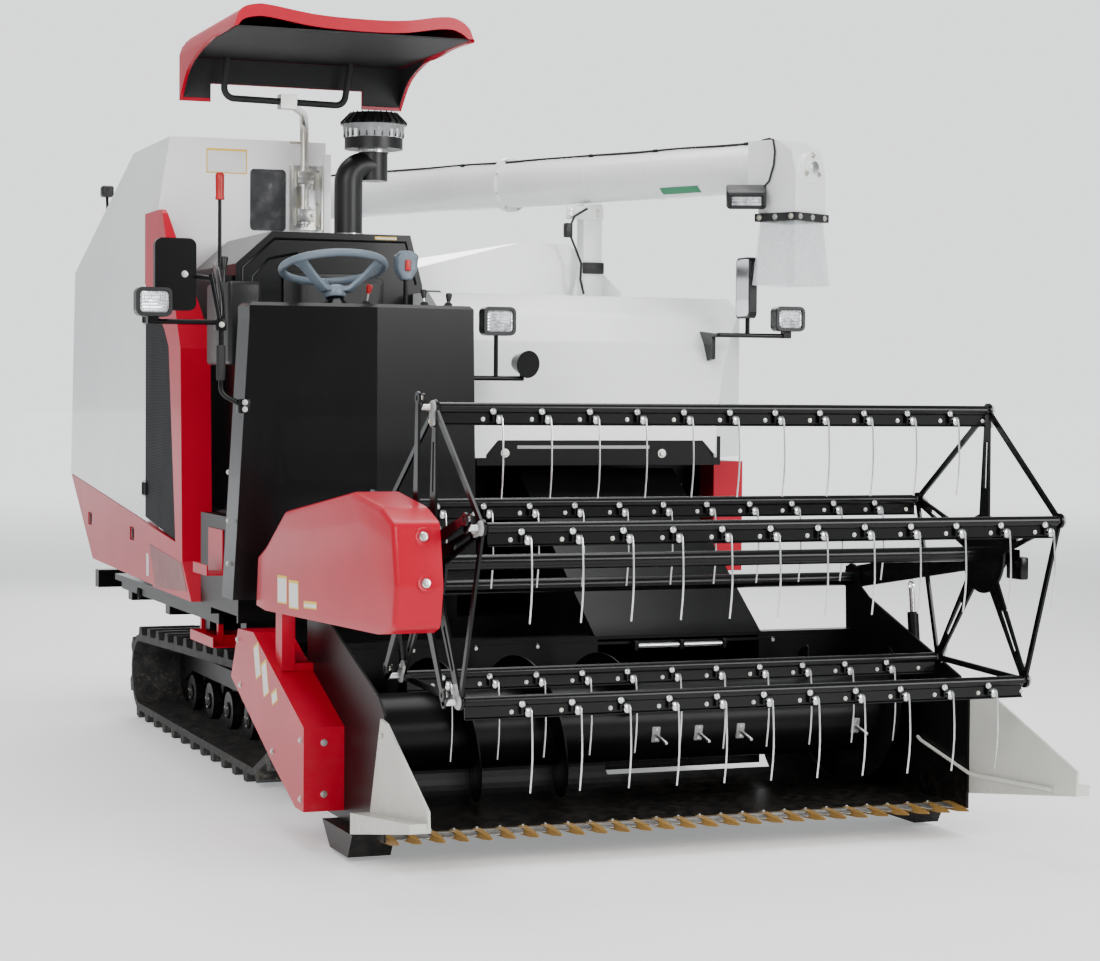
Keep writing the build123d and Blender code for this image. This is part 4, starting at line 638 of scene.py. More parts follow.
class Shape:
    """One mesh on the bench, in millimetres, shaped with Blender's own tools."""

    def __init__(self, item: bpy.types.Object) -> None:
        """Take an object onto the bench."""
        self.item = item

    def edit(self, pick: Pick, rule: Rule = everything) -> "Shape":
        """Enter edit mode with the elements picked that a rule on centre and normal accepts.

        Args:
            pick: Which elements are picked.
            rule: Says from a centre and a normal, or an edge's way, whether one is picked.

        Returns:
            The shape, in edit mode.
        """
        focus(self.item)
        bpy.ops.object.mode_set(mode="EDIT")
        bpy.ops.mesh.select_mode(type=pick.value)
        bpy.ops.mesh.select_all(action="DESELECT")
        mesh = bmesh.from_edit_mesh(self.item.data)
        if pick is Pick.FACE:
            for face in mesh.faces:
                face.select = rule(face.calc_center_median(), face.normal)
        elif pick is Pick.EDGE:
            for edge in mesh.edges:
                first, second = (v.co for v in edge.verts)
                edge.select = rule((first + second) / 2, second - first)
        else:
            for vert in mesh.verts:
                vert.select = rule(vert.co, vert.normal)
        mesh.select_flush_mode()
        bmesh.update_edit_mesh(self.item.data)
        return self

    def leave(self) -> "Shape":
        """Leave edit mode."""
        bpy.ops.object.mode_set(mode="OBJECT")
        return self

    def tidy(self) -> "Shape":
        """Merge doubles, turn faces outwards and leave edit mode.

        Returns:
            This shape.
        """
        bpy.ops.mesh.select_all(action="SELECT")
        bpy.ops.mesh.remove_doubles(threshold=MERGE)
        bpy.ops.mesh.normals_make_consistent(inside=False)
        return self.leave()

    def inset(self, rule: Rule, rim: float, sink: float) -> "Shape":
        """Inset picked faces and move them along their normals; a negative sink raises them.

        Args:
            rule: Rule that picks the faces.
            rim: Width of the new rim, in millimetres.
            sink: Depth of the faces, in millimetres.

        Returns:
            This shape.
        """
        self.edit(Pick.FACE, rule)
        bpy.ops.mesh.inset(thickness=rim, depth=-sink, use_even_offset=True)
        return self.leave()

    def push(self, rule: Rule, way: Point, grow: float = 1.0) -> "Shape":
        """Extrude picked faces along a way and scale their ends.

        Args:
            rule: Rule that picks the faces.
            way: Way and length of the push, in millimetres.
            grow: Scale of the pushed faces.

        Returns:
            This shape.
        """
        self.edit(Pick.FACE, rule)
        bpy.ops.mesh.extrude_region_move(TRANSFORM_OT_translate={"value": way})
        if grow != 1.0:
            bpy.ops.transform.resize(value=(grow, grow, grow))
        return self.leave()

    def bevel(self, width: float, segments: int = 2, rule: Rule = everything) -> "Shape":
        """Round all edges, or those that a rule picks.

        Args:
            width: Width of the rounding, in millimetres.
            segments: Steps round each edge.
            rule: Rule that picks the edges.

        Returns:
            This shape.
        """
        self.edit(Pick.EDGE, rule)
        bpy.ops.mesh.bevel(offset=width, segments=segments, affect="EDGES", clamp_overlap=True)
        return self.leave()

    def modifier(self, kind: str, **settings: object) -> "Shape":
        """Add a modifier and apply it.

        Args:
            kind: Type of the modifier.
            settings: Its settings, by name.

        Returns:
            This shape.
        """
        focus(self.item)
        made = self.item.modifiers.new(kind.lower(), kind)
        for key, value in settings.items():
            setattr(made, key, value)
        bpy.ops.object.modifier_apply(modifier=made.name)
        return self

    def settle(self) -> "Shape":
        """Put the object's own place, turn and scale into its mesh.

        Returns:
            This shape.
        """
        focus(self.item)
        bpy.ops.object.transform_apply(location=True, rotation=True, scale=True)
        return self

    def put(self, matrix: Matrix) -> "Shape":
        """Move the shape by a matrix, into its mesh."""
        self.item.matrix_world = matrix @ self.item.matrix_world
        return self.settle()

    def paint(self, finish: Finish) -> "Shape":
        """Give the whole shape one finish.

        Args:
            finish: Finish of every face.

        Returns:
            This shape.
        """
        self.item.data.materials.clear()
        self.item.data.materials.append(WARDROBE.get(finish))
        return self

    def join(self, *others: "Shape") -> "Shape":
        """Join other shapes into this one.

        Args:
            others: Shapes to take in.

        Returns:
            This shape.
        """
        focus(self.item)
        for other in others:
            other.item.select_set(True)
        bpy.ops.object.join()
        return self

    def copies(self, matrices: Iterable[Matrix]) -> "Shape":
        """Copy the shape to each matrix with its own mesh, and join the copies.

        Args:
            matrices: Place and turn of each copy.

        Returns:
            The joined copies.
        """
        made = []
        for matrix in matrices:
            item = self.item.copy()
            item.data = self.item.data.copy()
            bpy.context.scene.collection.objects.link(item)
            item.data.transform(matrix)
            made.append(Shape(item))
        return weld(made)

    def spread(self, matrices: Iterable[Matrix]) -> "Shape":
        """Put copies in the shape's place.

        Args:
            matrices: Place and turn of each copy.

        Returns:
            The joined copies, without the first shape.
        """
        made = self.copies(matrices)
        bpy.data.objects.remove(self.item)
        return made

    def set_down(self, name: str, body: str, *nodes: str, angle: float = SHARP) -> bpy.types.Object:
        """Name the shape, scale it to metres, smooth it and let it ride on a body.

        Args:
            name: The piece's name.
            body: The CAD body that carries it.
            nodes: CAD nodes that it stands for.
            angle: Edges sharper than this stay sharp, in degrees.

        Returns:
            The finished piece.
        """
        self.item.name = name
        self.item.scale = (MM, MM, MM)
        self.settle()
        bpy.ops.object.shade_smooth_by_angle(angle=math.radians(angle))
        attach(self.item, body)
        if nodes:
            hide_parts(*nodes)
        LOG.info("%s: %d faces on %s", name, len(self.item.data.polygons), body)
        return self.item


def weld(shapes: list[Shape]) -> Shape:
    """Join shapes into the first of them."""
    return shapes[0].join(*shapes[1:])


def sheet(points: list, edges: list, faces: list) -> Shape:
    """Start from a few points with their edges or faces.

    Args:
        points: Corners, in millimetres.
        edges: Pairs of corners.
        faces: Rings of corners.

    Returns:
        The open shape.
    """
    mesh = bpy.data.meshes.new("sheet")
    mesh.from_pydata([tuple(p) for p in points], edges, faces)
    item = stand(mesh)
    focus(item)
    return Shape(item)


def block(low: Point, high: Point, finish: Finish, edge: float = 2.0, segments: int = 2) -> Shape:
    """Block between two corners with rounded edges.

    Args:
        low: Lowest corner.
        high: Highest corner.
        finish: Its finish.
        edge: Radius of its edges.
        segments: Steps in each rounded edge.

    Returns:
        The shape.
    """
    bpy.ops.mesh.primitive_cube_add(size=1.0, location=(Vector(low) + Vector(high)) / 2)
    shape = Shape(bpy.context.object)
    shape.item.scale = Vector(high) - Vector(low)
    shape.settle()
    if edge:
        shape.bevel(edge, segments)
    return shape.paint(finish)


def prism(outline: list, way: Point, finish: Finish, edge: float = 0.0, segments: int = 2) -> Shape:
    """Extrude a flat outline along a way.

    Args:
        outline: Its corners in order.
        way: Extrusion as a vector.
        finish: Its finish.
        edge: Radius of its edges.
        segments: Steps in each rounded edge.

    Returns:
        The shape.
    """
    shape = sheet(outline, [], [tuple(range(len(outline)))]).edit(Pick.FACE)
    bpy.ops.mesh.extrude_region_move(TRANSFORM_OT_translate={"value": way})
    shape.tidy()
    if edge:
        shape.bevel(edge, segments)
    return shape.paint(finish)


def turned(profile: list[Flat], finish: Finish, steps: int = 20, angle: float = math.tau) -> Shape:
    """Spin a profile of (radius, height) points round Z.

    Args:
        profile: Points of the outline, in millimetres.
        finish: Finish of the whole piece.
        steps: Steps of the spin.
        angle: Angle to spin through, in radians.

    Returns:
        The turned shape.
    """
    points = [(radius, 0.0, height) for radius, height in profile]
    shape = sheet(points, [(i, i + 1) for i in range(len(points) - 1)], []).edit(Pick.VERT)
    bpy.ops.mesh.spin(steps=steps, angle=angle, center=(0, 0, 0), axis=UP)
    return shape.tidy().paint(finish)


def rod(radius: float, low: float, high: float, finish: Finish, steps: int) -> Shape:
    """Plain rod along Z between two heights."""
    return turned([(0, low), (radius, low), (radius, high), (0, high)], finish, steps)


def tube(points: list[Point], radius: float, finish: Finish, sides: int = 8, closed: bool = False) -> Shape:
    """Round wire or tube along a list of points.

    Args:
        points: Its centreline.
        radius: Its radius.
        finish: Its finish.
        sides: Faces round it, an even number.
        closed: Whether it is a ring.

    Returns:
        The shape, as a mesh with closed ends.
    """
    curve = bpy.data.curves.new("tube", "CURVE")
    curve.dimensions = "3D"
    curve.bevel_depth = radius
    curve.bevel_resolution = max(0, (sides - 4) // 2)
    curve.use_fill_caps = True
    line = curve.splines.new("POLY")
    line.points.add(len(points) - 1)
    for target, point in zip(line.points, points):
        target.co = (*point, 1.0)
    line.use_cyclic_u = closed
    focus(stand(curve))
    bpy.ops.object.convert(target="MESH")
    return Shape(bpy.context.object).edit(Pick.VERT).tidy().paint(finish)


def hex_bolt(across: float) -> Shape:
    """Zinc hexagon bolt head on its washer, with its foot at the origin and its head along Z.

    Args:
        across: Width across the flats, in millimetres.

    Returns:
        The bolt.
    """
    tall = across * 0.38
    washer_r, washer_t = across * 0.82, 2.0
    washer = turned([(0, 0), (washer_r, 0), (washer_r, 1.4), (0, washer_t)], ZINC, 14)
    place = (0, 0, washer_t + tall / 2)
    bpy.ops.mesh.primitive_cylinder_add(vertices=6, radius=across * 0.56, depth=tall, location=place)
    head = Shape(bpy.context.object).settle().bevel(across * 0.07, 1).paint(ZINC)
    return head.join(washer)


def bolt_set(name: str, body: str, spots: list[tuple[Point, Point]], across: float = 13.0) -> None:
    """Set hexagon bolts, each turned a little further than the last.

    Args:
        name: The piece's name, without the ending that all sets share.
        body: The body that they hold.
        spots: Pairs of a place and the way the head points.
        across: Width of the heads.
    """
    places = [aim(place, way, BOLT_TURN * index) for index, (place, way) in enumerate(spots)]
    hex_bolt(across).spread(places).set_down(f"{name}_head", body)


# --- reel -----------------------------------------------------------------------------
@dataclass
class Reel:
    """Tined bats, their end castings and the spiders' bolts."""

    hub: Flat = (-2163.0, 949.0)
    radius: float = 468.0
    phase: float = 92.0
    count: int = 5
    offset: Flat = (-40.0, 28.0)
    span: Flat = (-702.0, 1179.0)
    tube_r: float = 16.0
    stub_r: float = 10.0
    stub_ends: Flat = (-765.0, 1198.0)
    crank: Flat = (-765.0, -759.0)
    crank_half: float = 13.0
    pin_end: float = -778.0
    pitch: float = 157.0
    tines: int = 12
    first: tuple[float, ...] = (-521.0, -589.0, -513.0, -575.0, -545.0)
    coil: float = 12.5
    coil_turns: float = 2.25
    coil_steps: int = 26
    wire: float = 2.7
    drop: float = 240.0
    spiders: Flat = (-715.0, 1192.0)
    hub_discs: Flat = (-707.0, 1192.0)
    hub_circle: float = 92.0

    def places(self) -> list[Flat]:
        """Bat centres in the side view, as (y, z)."""
        turns = [math.radians(self.phase + 360.0 / self.count * i) for i in range(self.count)]
        return [point[1:] for point in circle((0, *self.hub), self.radius, turns)]

    def tine(self) -> Shape:
        """Spring tine with its coil about X, the coil's middle at the origin.

        Returns:
            The tine, hanging down.
        """
        points = []
        for step in range(self.coil_steps + 1):
            share = step / self.coil_steps
            angle = math.tau * self.coil_turns * share + math.pi / 2
            points += circle((-8.0 + 15.0 * share, 0, 0), self.coil, [angle])
        drops = ((-18.0, -34.0), (-22.0, -90.0), (-22.5, -135.0), (-18.0, -180.0), (-6.0, -self.drop))
        wire = tube(points + [(8.0, y + 3.0, z) for y, z in drops], self.wire, BRIGHT, 6)
        ball = turned([(0, 0), (7.5, 0), (10.5, 5), (10.0, 10), (5.5, 14), (0, 15)], BRIGHT, 10)
        cap = turned([(0, 0), (12.0, 0), (13.5, 3), (9.0, 6), (0, 7)], BRIGHT, 12)
        neck = block((-22, -6, -8), (-14, 8, 24), BLACK, 1.5, 1)
        ball.put(aim((-19.0, 4.0, 24.0), FRONT))
        cap.put(aim((-2.0, -8.0, -1.0), (0.35, -1, 0)))
        return wire.join(ball, cap, neck)

    def crank_arm(self, y: float, z: float) -> list[Shape]:
        """Arm from a bat to the control ring, with its bosses and its pin.

        Args:
            y: The bat's centre along the machine.
            z: The bat's centre above the ground.

        Returns:
            The shapes.
        """
        start, end = self.crank
        thick = end - start
        pin_y, pin_z = y + self.offset[0], z + self.offset[1]
        side = Vector((-self.offset[1], self.offset[0])).normalized() * self.crank_half
        corners = [(y + side.x, z + side.y), (pin_y + side.x, pin_z + side.y)]
        corners += [(pin_y - side.x, pin_z - side.y), (y - side.x, z - side.y)]
        parts = [prism([(start, a, b) for a, b in corners], (thick, 0, 0), BLACK, 1.0, 1)]
        for boss_y, boss_z, radius in ((y, z, 17.0), (pin_y, pin_z, 15.0)):
            parts.append(rod(radius, 0, thick, BLACK, 16).put(aim((start, boss_y, boss_z), LEFT)))
        length = start - self.pin_end
        pin = turned([(0, 0), (7, 0), (8, 1), (8, length), (0, length)], ZINC, 12)
        return [*parts, pin.put(aim((self.pin_end, pin_y, pin_z), LEFT))]

    def bat(self, index: int, y: float, z: float, tine: Shape) -> None:
        """Make one bat.

        Args:
            index: Its number from 1.
            y: Its tube's centre along the machine.
            z: Its tube's centre above the ground.
            tine: The tine that is copied along it.
        """
        low, high = self.span
        radius, length = self.tube_r, high - low
        profile = [(0, 0), (radius - 2, 0), (radius, 2)]
        profile += [(radius, length - 2), (radius - 2, length), (0, length)]
        pipe = turned(profile, BLACK).put(aim((low, y, z), LEFT))
        stub_low, stub_high = self.stub_ends
        stub = rod(self.stub_r, 0, stub_high - stub_low, ZINC, 12).put(aim((stub_low, y, z), LEFT))
        top, bottom = z - radius + 3, z - radius - 34
        corners = [(3, top), (-3, top), (-3, bottom + 4), (-9, bottom), (-9, bottom - 3), (3, bottom)]
        strip = prism([(low + 4, y + a, b) for a, b in corners], (length - 8, 0, 0), BLACK)
        pipe.join(stub, strip, *self.crank_arm(y, z))
        stations = [self.first[index - 1] + self.pitch * n for n in range(self.tines)]
        tines = tine.copies([shift(x + 8, y - 12, z - radius - 18) for x in stations if x <= high - 30])
        nuts = hex_bolt(8.0).spread([aim((x - 40, y - 3, z - 34), FRONT) for x in stations if x - 50 > low])
        pipe.join(tines, nuts).set_down(f"bat_{index}", f"bat_{index}", f"reel_bat_{index}")

    def ends(self) -> None:
        """Pale end castings with their bolts, on the spiders."""
        castings, bolts = [], []
        ring = [(10.6, 0), (22, 0), (22, 6), (17, 11), (10.6, 11), (10.6, 0)]
        for y, z in self.places():
            out = Vector((0, y - self.hub[0], z - self.hub[1])).normalized()
            side = Vector((0, -out.z, out.y)) * 14
            for x, way in zip(self.spiders, (RIGHT, LEFT)):
                middle = Vector((x, y, z))
                castings.append(turned(ring, CAST, 18).put(aim((x, y, z), way)))
                inner, outer = middle - out * 52, middle - out * 14
                outline = [inner + side * 1.1, outer + side * 1.3, outer - side * 1.3, inner - side * 1.1]
                castings.append(prism([*outline, middle - out * 60], tuple(Vector(way) * 9), CAST, 1.5, 1))
                bolts.append((tuple(inner + out * 10 + Vector(way) * 9), way))
        weld(castings).set_down("reel_end_castings", "reel")
        bolt_set("reel_end_bolts", "reel", bolts, 12.0)

    def hub_bolts(self) -> None:
        """Bolt circles on the spiders' hub discs."""
        turns = [math.radians(60 * step + 20) for step in range(6)]
        rings = [circle((x, *self.hub), self.hub_circle, turns) for x in self.hub_discs]
        bolt_set("reel_hub_bolts", "reel", [(spot, LEFT) for ring in rings for spot in ring])

    def build(self) -> None:
        """Make every bat and the ends."""
        tine = self.tine()
        for index, (y, z) in enumerate(self.places(), 1):
            self.bat(index, y, z, tine)
        bpy.data.objects.remove(tine.item)
        self.ends()
        self.hub_bolts()


# --- lamps and mirrors ------------------------------------------------------------------
@dataclass
class Lamps:
    """Lenses, bezels and mirror faces on the CAD housings."""

    lenses: tuple[tuple[Point, float, float], ...] = (
        ((-1272.0, -827.0, 1766.0), 124.0, 100.0),
        ((-16.0, -817.0, 1722.0), 124.0, 104.0),
        ((1234.0, -642.0, 1757.0), 122.0, 96.0),
    )
    border: float = 11.0
    bezel: float = 8.0
    gap: float = 2.5
    near: float = 4.0

    def corners(self, half_w: float, half_h: float, round_by: float) -> list[Flat]:
        """Rounded rectangle as (x, z) points round the origin.

        Args:
            half_w: Half the width.
            half_h: Half the height.
            round_by: Radius of the corners.

        Returns:
            The points, in order.
        """
        points = []
        for sx, sz, start in ((1, 1, 0), (-1, 1, 90), (-1, -1, 180), (1, -1, 270)):
            for step in range(5):
                turn = math.radians(start + 22.5 * step)
                x = sx * (half_w - round_by) + round_by * math.cos(turn)
                points.append((x, sz * (half_h - round_by) + round_by * math.sin(turn)))
        return points

    def lamp(self, index: int, centre: Point, width: float, height: float) -> None:
        """Glaze one lamp.

        Args:
            index: Its number.
            centre: Middle of the housing's front face.
            width: Housing's width.
            height: Housing's height.
        """
        x, y, z = centre

        def middle(place: Vector, normal: Vector) -> bool:
            """Rule that picks the middle front face."""
            return faces_front(place, normal) and max(abs(place.x - x), abs(place.z - z)) < self.near

        outer = self.corners(width / 2 - 1, height / 2 - 1, 20)
        rim = prism([(x + a, y, z + b) for a, b in outer], (0, -self.bezel, 0), BLACK_PLASTIC)
        rim.inset(middle, self.border, 0.0).inset(middle, 0.5, self.bezel - 1.5)
        rim.set_down(f"lamp_bezel_{index}", "root")
        edge = self.border + self.gap
        inner = self.corners(width / 2 - edge, height / 2 - edge, 13)
        lens = prism([(x + a, y - 0.5, z + b) for a, b in inner], (0, -self.gap, 0), LENS)
        lens.inset(middle, 5, -1.6).inset(middle, 5, -1.0).set_down(f"lamp_lens_{index}", "root")

    def mirrors(self) -> None:
        """Silver the operator's side of both mirrors."""
        glass = [(-1181.5 + a, -722.0, 1865.0 + b) for a, b in self.corners(62, 115, 18)]
        prism(glass, (0, 2.5, 0), SILVERED, 0.8, 1).set_down("mirror_glass_right", "root")
        glass = [(1055.0, -592.5 + a, 1873.5 + b) for a, b in self.corners(54, 108, 16)]
        prism(glass, (-2.5, 0, 0), SILVERED, 0.8, 1).set_down("mirror_glass_left", "root")
        bolt_set("mirror_screws", "root", [((-1150.0, -752.0, 1866.0), FRONT)], 14.0)

    def build(self) -> None:
        """Make every lamp's and mirror's faces."""
        for index, (centre, width, height) in enumerate(self.lenses, 1):
            self.lamp(index, centre, width, height)
        self.mirrors()


# --- operator's station -------------------------------------------------------------------
@dataclass
class Station:
    """Steering wheel, levers, seat and pedals."""

    wheel: Point = (-605.0, -705.0, 1905.0)
    wheel_r: float = 182.0
    rim: float = 14.0
    lean: float = 14.0
    hub_drop: float = 92.0
    shaft: float = 38.0
    spokes: tuple[float, ...] = (90.0, 210.0, 330.0)
    lever: Flat = (-345.0, -735.0)
    levers: tuple[tuple[Point, Point, float, Finish], ...] = (
        ((-478.0, -690.0, 1772.0), (0.15, -0.1, 1), 74.0, RED_PLASTIC),
        ((-262.0, -700.0, 1772.0), (0, 0.2, 1), 62.0, BLACK_PLASTIC),
        ((-172.0, -700.0, 1772.0), (0.1, 0.1, 1), 50.0, BLACK_PLASTIC),
    )
    pedals_x: Flat = (-840.0, -750.0)
    pads: tuple[tuple[str, Point, Point, float, float], ...] = (
        ("seat_cushion", (-628, -492, 1349), (-242, -140, 1408), 0.0, 9.0),
        ("seat_backrest", (-622, -140, 1420), (-248, -86, 1905), -0.02, 7.0),
    )
    voxel: float = 0.006
    pressure: float = 4.0
    frames: int = 20
    fill: float = 0.85

    def steering(self) -> None:
        """Model the steering wheel with broad spokes that drop to the hub."""
        bpy.ops.mesh.primitive_torus_add(
            major_radius=self.wheel_r, minor_radius=self.rim, major_segments=72, minor_segments=14
        )
        rim = Shape(bpy.context.object).settle()

        def outer(centre: Vector, normal: Vector) -> bool:
            """Rule that picks the spoke's outer end."""
            return normal.x > 0.7

        spokes = []
        for angle in self.spokes:
            spoke = block((20, -20, -self.hub_drop - 4), (56, 20, -self.hub_drop + 14), GRIP_BLUE, 0)
            for way, grow in (((50, 0, 36), 1.0), ((42, 0, 36), 1.1), ((28, 0, 16), 1.25)):
                spoke.push(outer, way, grow)
            spokes.append(spoke.bevel(4.0).put(spin(angle)))
        profile = [(0, -112), (34, -112), (38, -106), (38, -80), (33, -72), (18, -68), (0, -67)]
        hub = turned(profile, GRIP_BLUE, 28)
        shaft = rod(15, -self.hub_drop - self.shaft, -110, GRIP_BLUE, 18)
        rim.paint(GRIP_BLUE).join(hub, shaft, *spokes)
        rim.put(Matrix.Translation(self.wheel) @ spin(-self.lean, "X"))
        rim.set_down("steering_rim", "steering", "steering_wheel")

    def grips(self) -> None:
        """Model the lever grips and their button."""
        x, y = self.lever
        outline = [(-39, 1950), (-36, 1898), (-17, 1864), (17, 1864)]
        outline += [(36, 1898), (43, 1953), (17, 1969), (-19, 1969)]
        grip = prism([(x + a, y + 26, b) for a, b in outline], (0, -54, 0), GRIP_BLUE, 9.0, 3)
        grip.inset(lambda centre, normal: normal.y < -0.95 and centre.z > 1880, 9.0, 3.0)
        grip.set_down("drive_grip", "root")
        button = block((x - 11, y - 36, 1896), (x + 9, y - 24, 1936), RED_PLASTIC, 5, 3)
        button.set_down("drive_button", "root")
        profile = [(0, 0), (17, 0), (18, 6), (16, 14), (16.5, 70), (17.5, 92), (12, 102), (0, 104)]
        turned(profile, RED_PLASTIC).put(aim((-847, 0, 2186))).set_down("hand_grip", "root")

    def small_levers(self) -> None:
        """Model the small levers on the console, with their boots and knobs."""
        parts = []
        for place, way, tall, finish in self.levers:
            boot = turned([(0, 0), (20, 0), (21, 4), (14, 8), (15, 12), (8, 18), (0, 18)], SOFT_RUBBER, 16)
            stem = rod(4, 14, tall, ZINC, 10)
            profile = [(0, tall - 30), (7, tall - 30), (12, tall - 8), (11, tall), (0, tall + 4)]
            knob = turned(profile, finish, 14)
            parts.append(boot.join(stem, knob).put(aim(place, way)))
        weld(parts).set_down("console_levers", "root")

    def pedals(self) -> None:
        """Lay the ribbed floor mat and two pedals."""
        mat = block((-880, -560, 1010), (-660, -110, 1017), SOFT_RUBBER, 3)
        rib = block((-870, -4, 1016), (-670, 4, 1020), SOFT_RUBBER, 1.2, 1)
        mat.join(rib.spread([shift(0, y, 0) for y in range(-540, -120, 26)])).set_down("floor_mat", "root")
        pedals = []
        for x in self.pedals_x:
            pad = block((x, -596, 1085), (x + 56, -586, 1160), SOFT_RUBBER, 3)
            rib = block((x + 4, -584, 0), (x + 52, -581, 5), SOFT_RUBBER, 1, 1)
            ribs = rib.spread([shift(0, 0, z) for z in range(1092, 1152, 11)])
            path = [(x + 28, -592, 1120), (x + 28, -612, 1100), (x + 28, -636, 1080)]
            pedals.append(pad.join(ribs, tube(path, 6, FRAME_BLACK)))
        weld(pedals).set_down("pedals", "root")

    def seat(self) -> None:
        """Model the seat on its bellows, with padded cushions."""
        base = block((-580, -390, 1010), (-290, -100, 1060), BLACK_PLASTIC, 10)
        fold = block((-565, -375, 0), (-305, -115, 44), BLACK_PLASTIC, 12, 3)
        folds = fold.spread([shift(0, 0, z) for z in range(1062, 1290, 45)])
        pan = block((-622, -478, 1300), (-248, -75, 1345), BLACK_PLASTIC, 14, 3)
        outline = [(-618, y, z) for y, z in ((-74, 1340), (-64, 1340), (-64, 1915), (-78, 1915))]
        back = prism(outline, (366, 0, 0), BLACK_PLASTIC, 4)
        base.join(folds, pan, back).set_down("seat_base", "root", "seat")
        for name, low, high, taper, cap in self.pads:
            pad = block(low, high, VINYL, 18, 3)
            if taper:
                pad.modifier("SIMPLE_DEFORM", deform_method="TAPER", deform_axis="Z", factor=taper)
            item = pad.set_down(name, "root", angle=60.0)
            self.stuff(item, cap * MM)

    def stuff(self, item: bpy.types.Object, cap: float) -> None:
        """Swell a pad with the cloth tool, never further than a cap.

        Args:
            item: The pad.
            cap: Furthest that a point may move, in metres.
        """
        focus(item)
        item.data.remesh_voxel_size = self.voxel
        bpy.ops.object.voxel_remesh()
        start = [v.co.copy() for v in item.data.vertices]
        cloth = item.modifiers.new("stuffing", "CLOTH")
        cloth.settings.use_pressure = True
        cloth.settings.uniform_pressure_force = self.pressure
        cloth.settings.effector_weights.gravity = 0.0
        for step in range(1, self.frames + 1):
            bpy.context.scene.frame_set(step)
        bpy.ops.object.modifier_apply(modifier=cloth.name)
        for vert, rest in zip(item.data.vertices, start):
            move = vert.co - rest
            if move.length > cap:
                vert.co = rest + move.normalized() * cap
        bpy.context.scene.frame_set(1)
        Shape(item).modifier("SMOOTH", iterations=3)
        bpy.ops.object.shade_smooth()
        LOG.info("%s stuffed: %d faces", item.name, len(item.data.polygons))

    def build(self) -> None:
        """Make the whole station."""
        self.steering()
        self.grips()
        self.small_levers()
        self.pedals()
        self.seat()


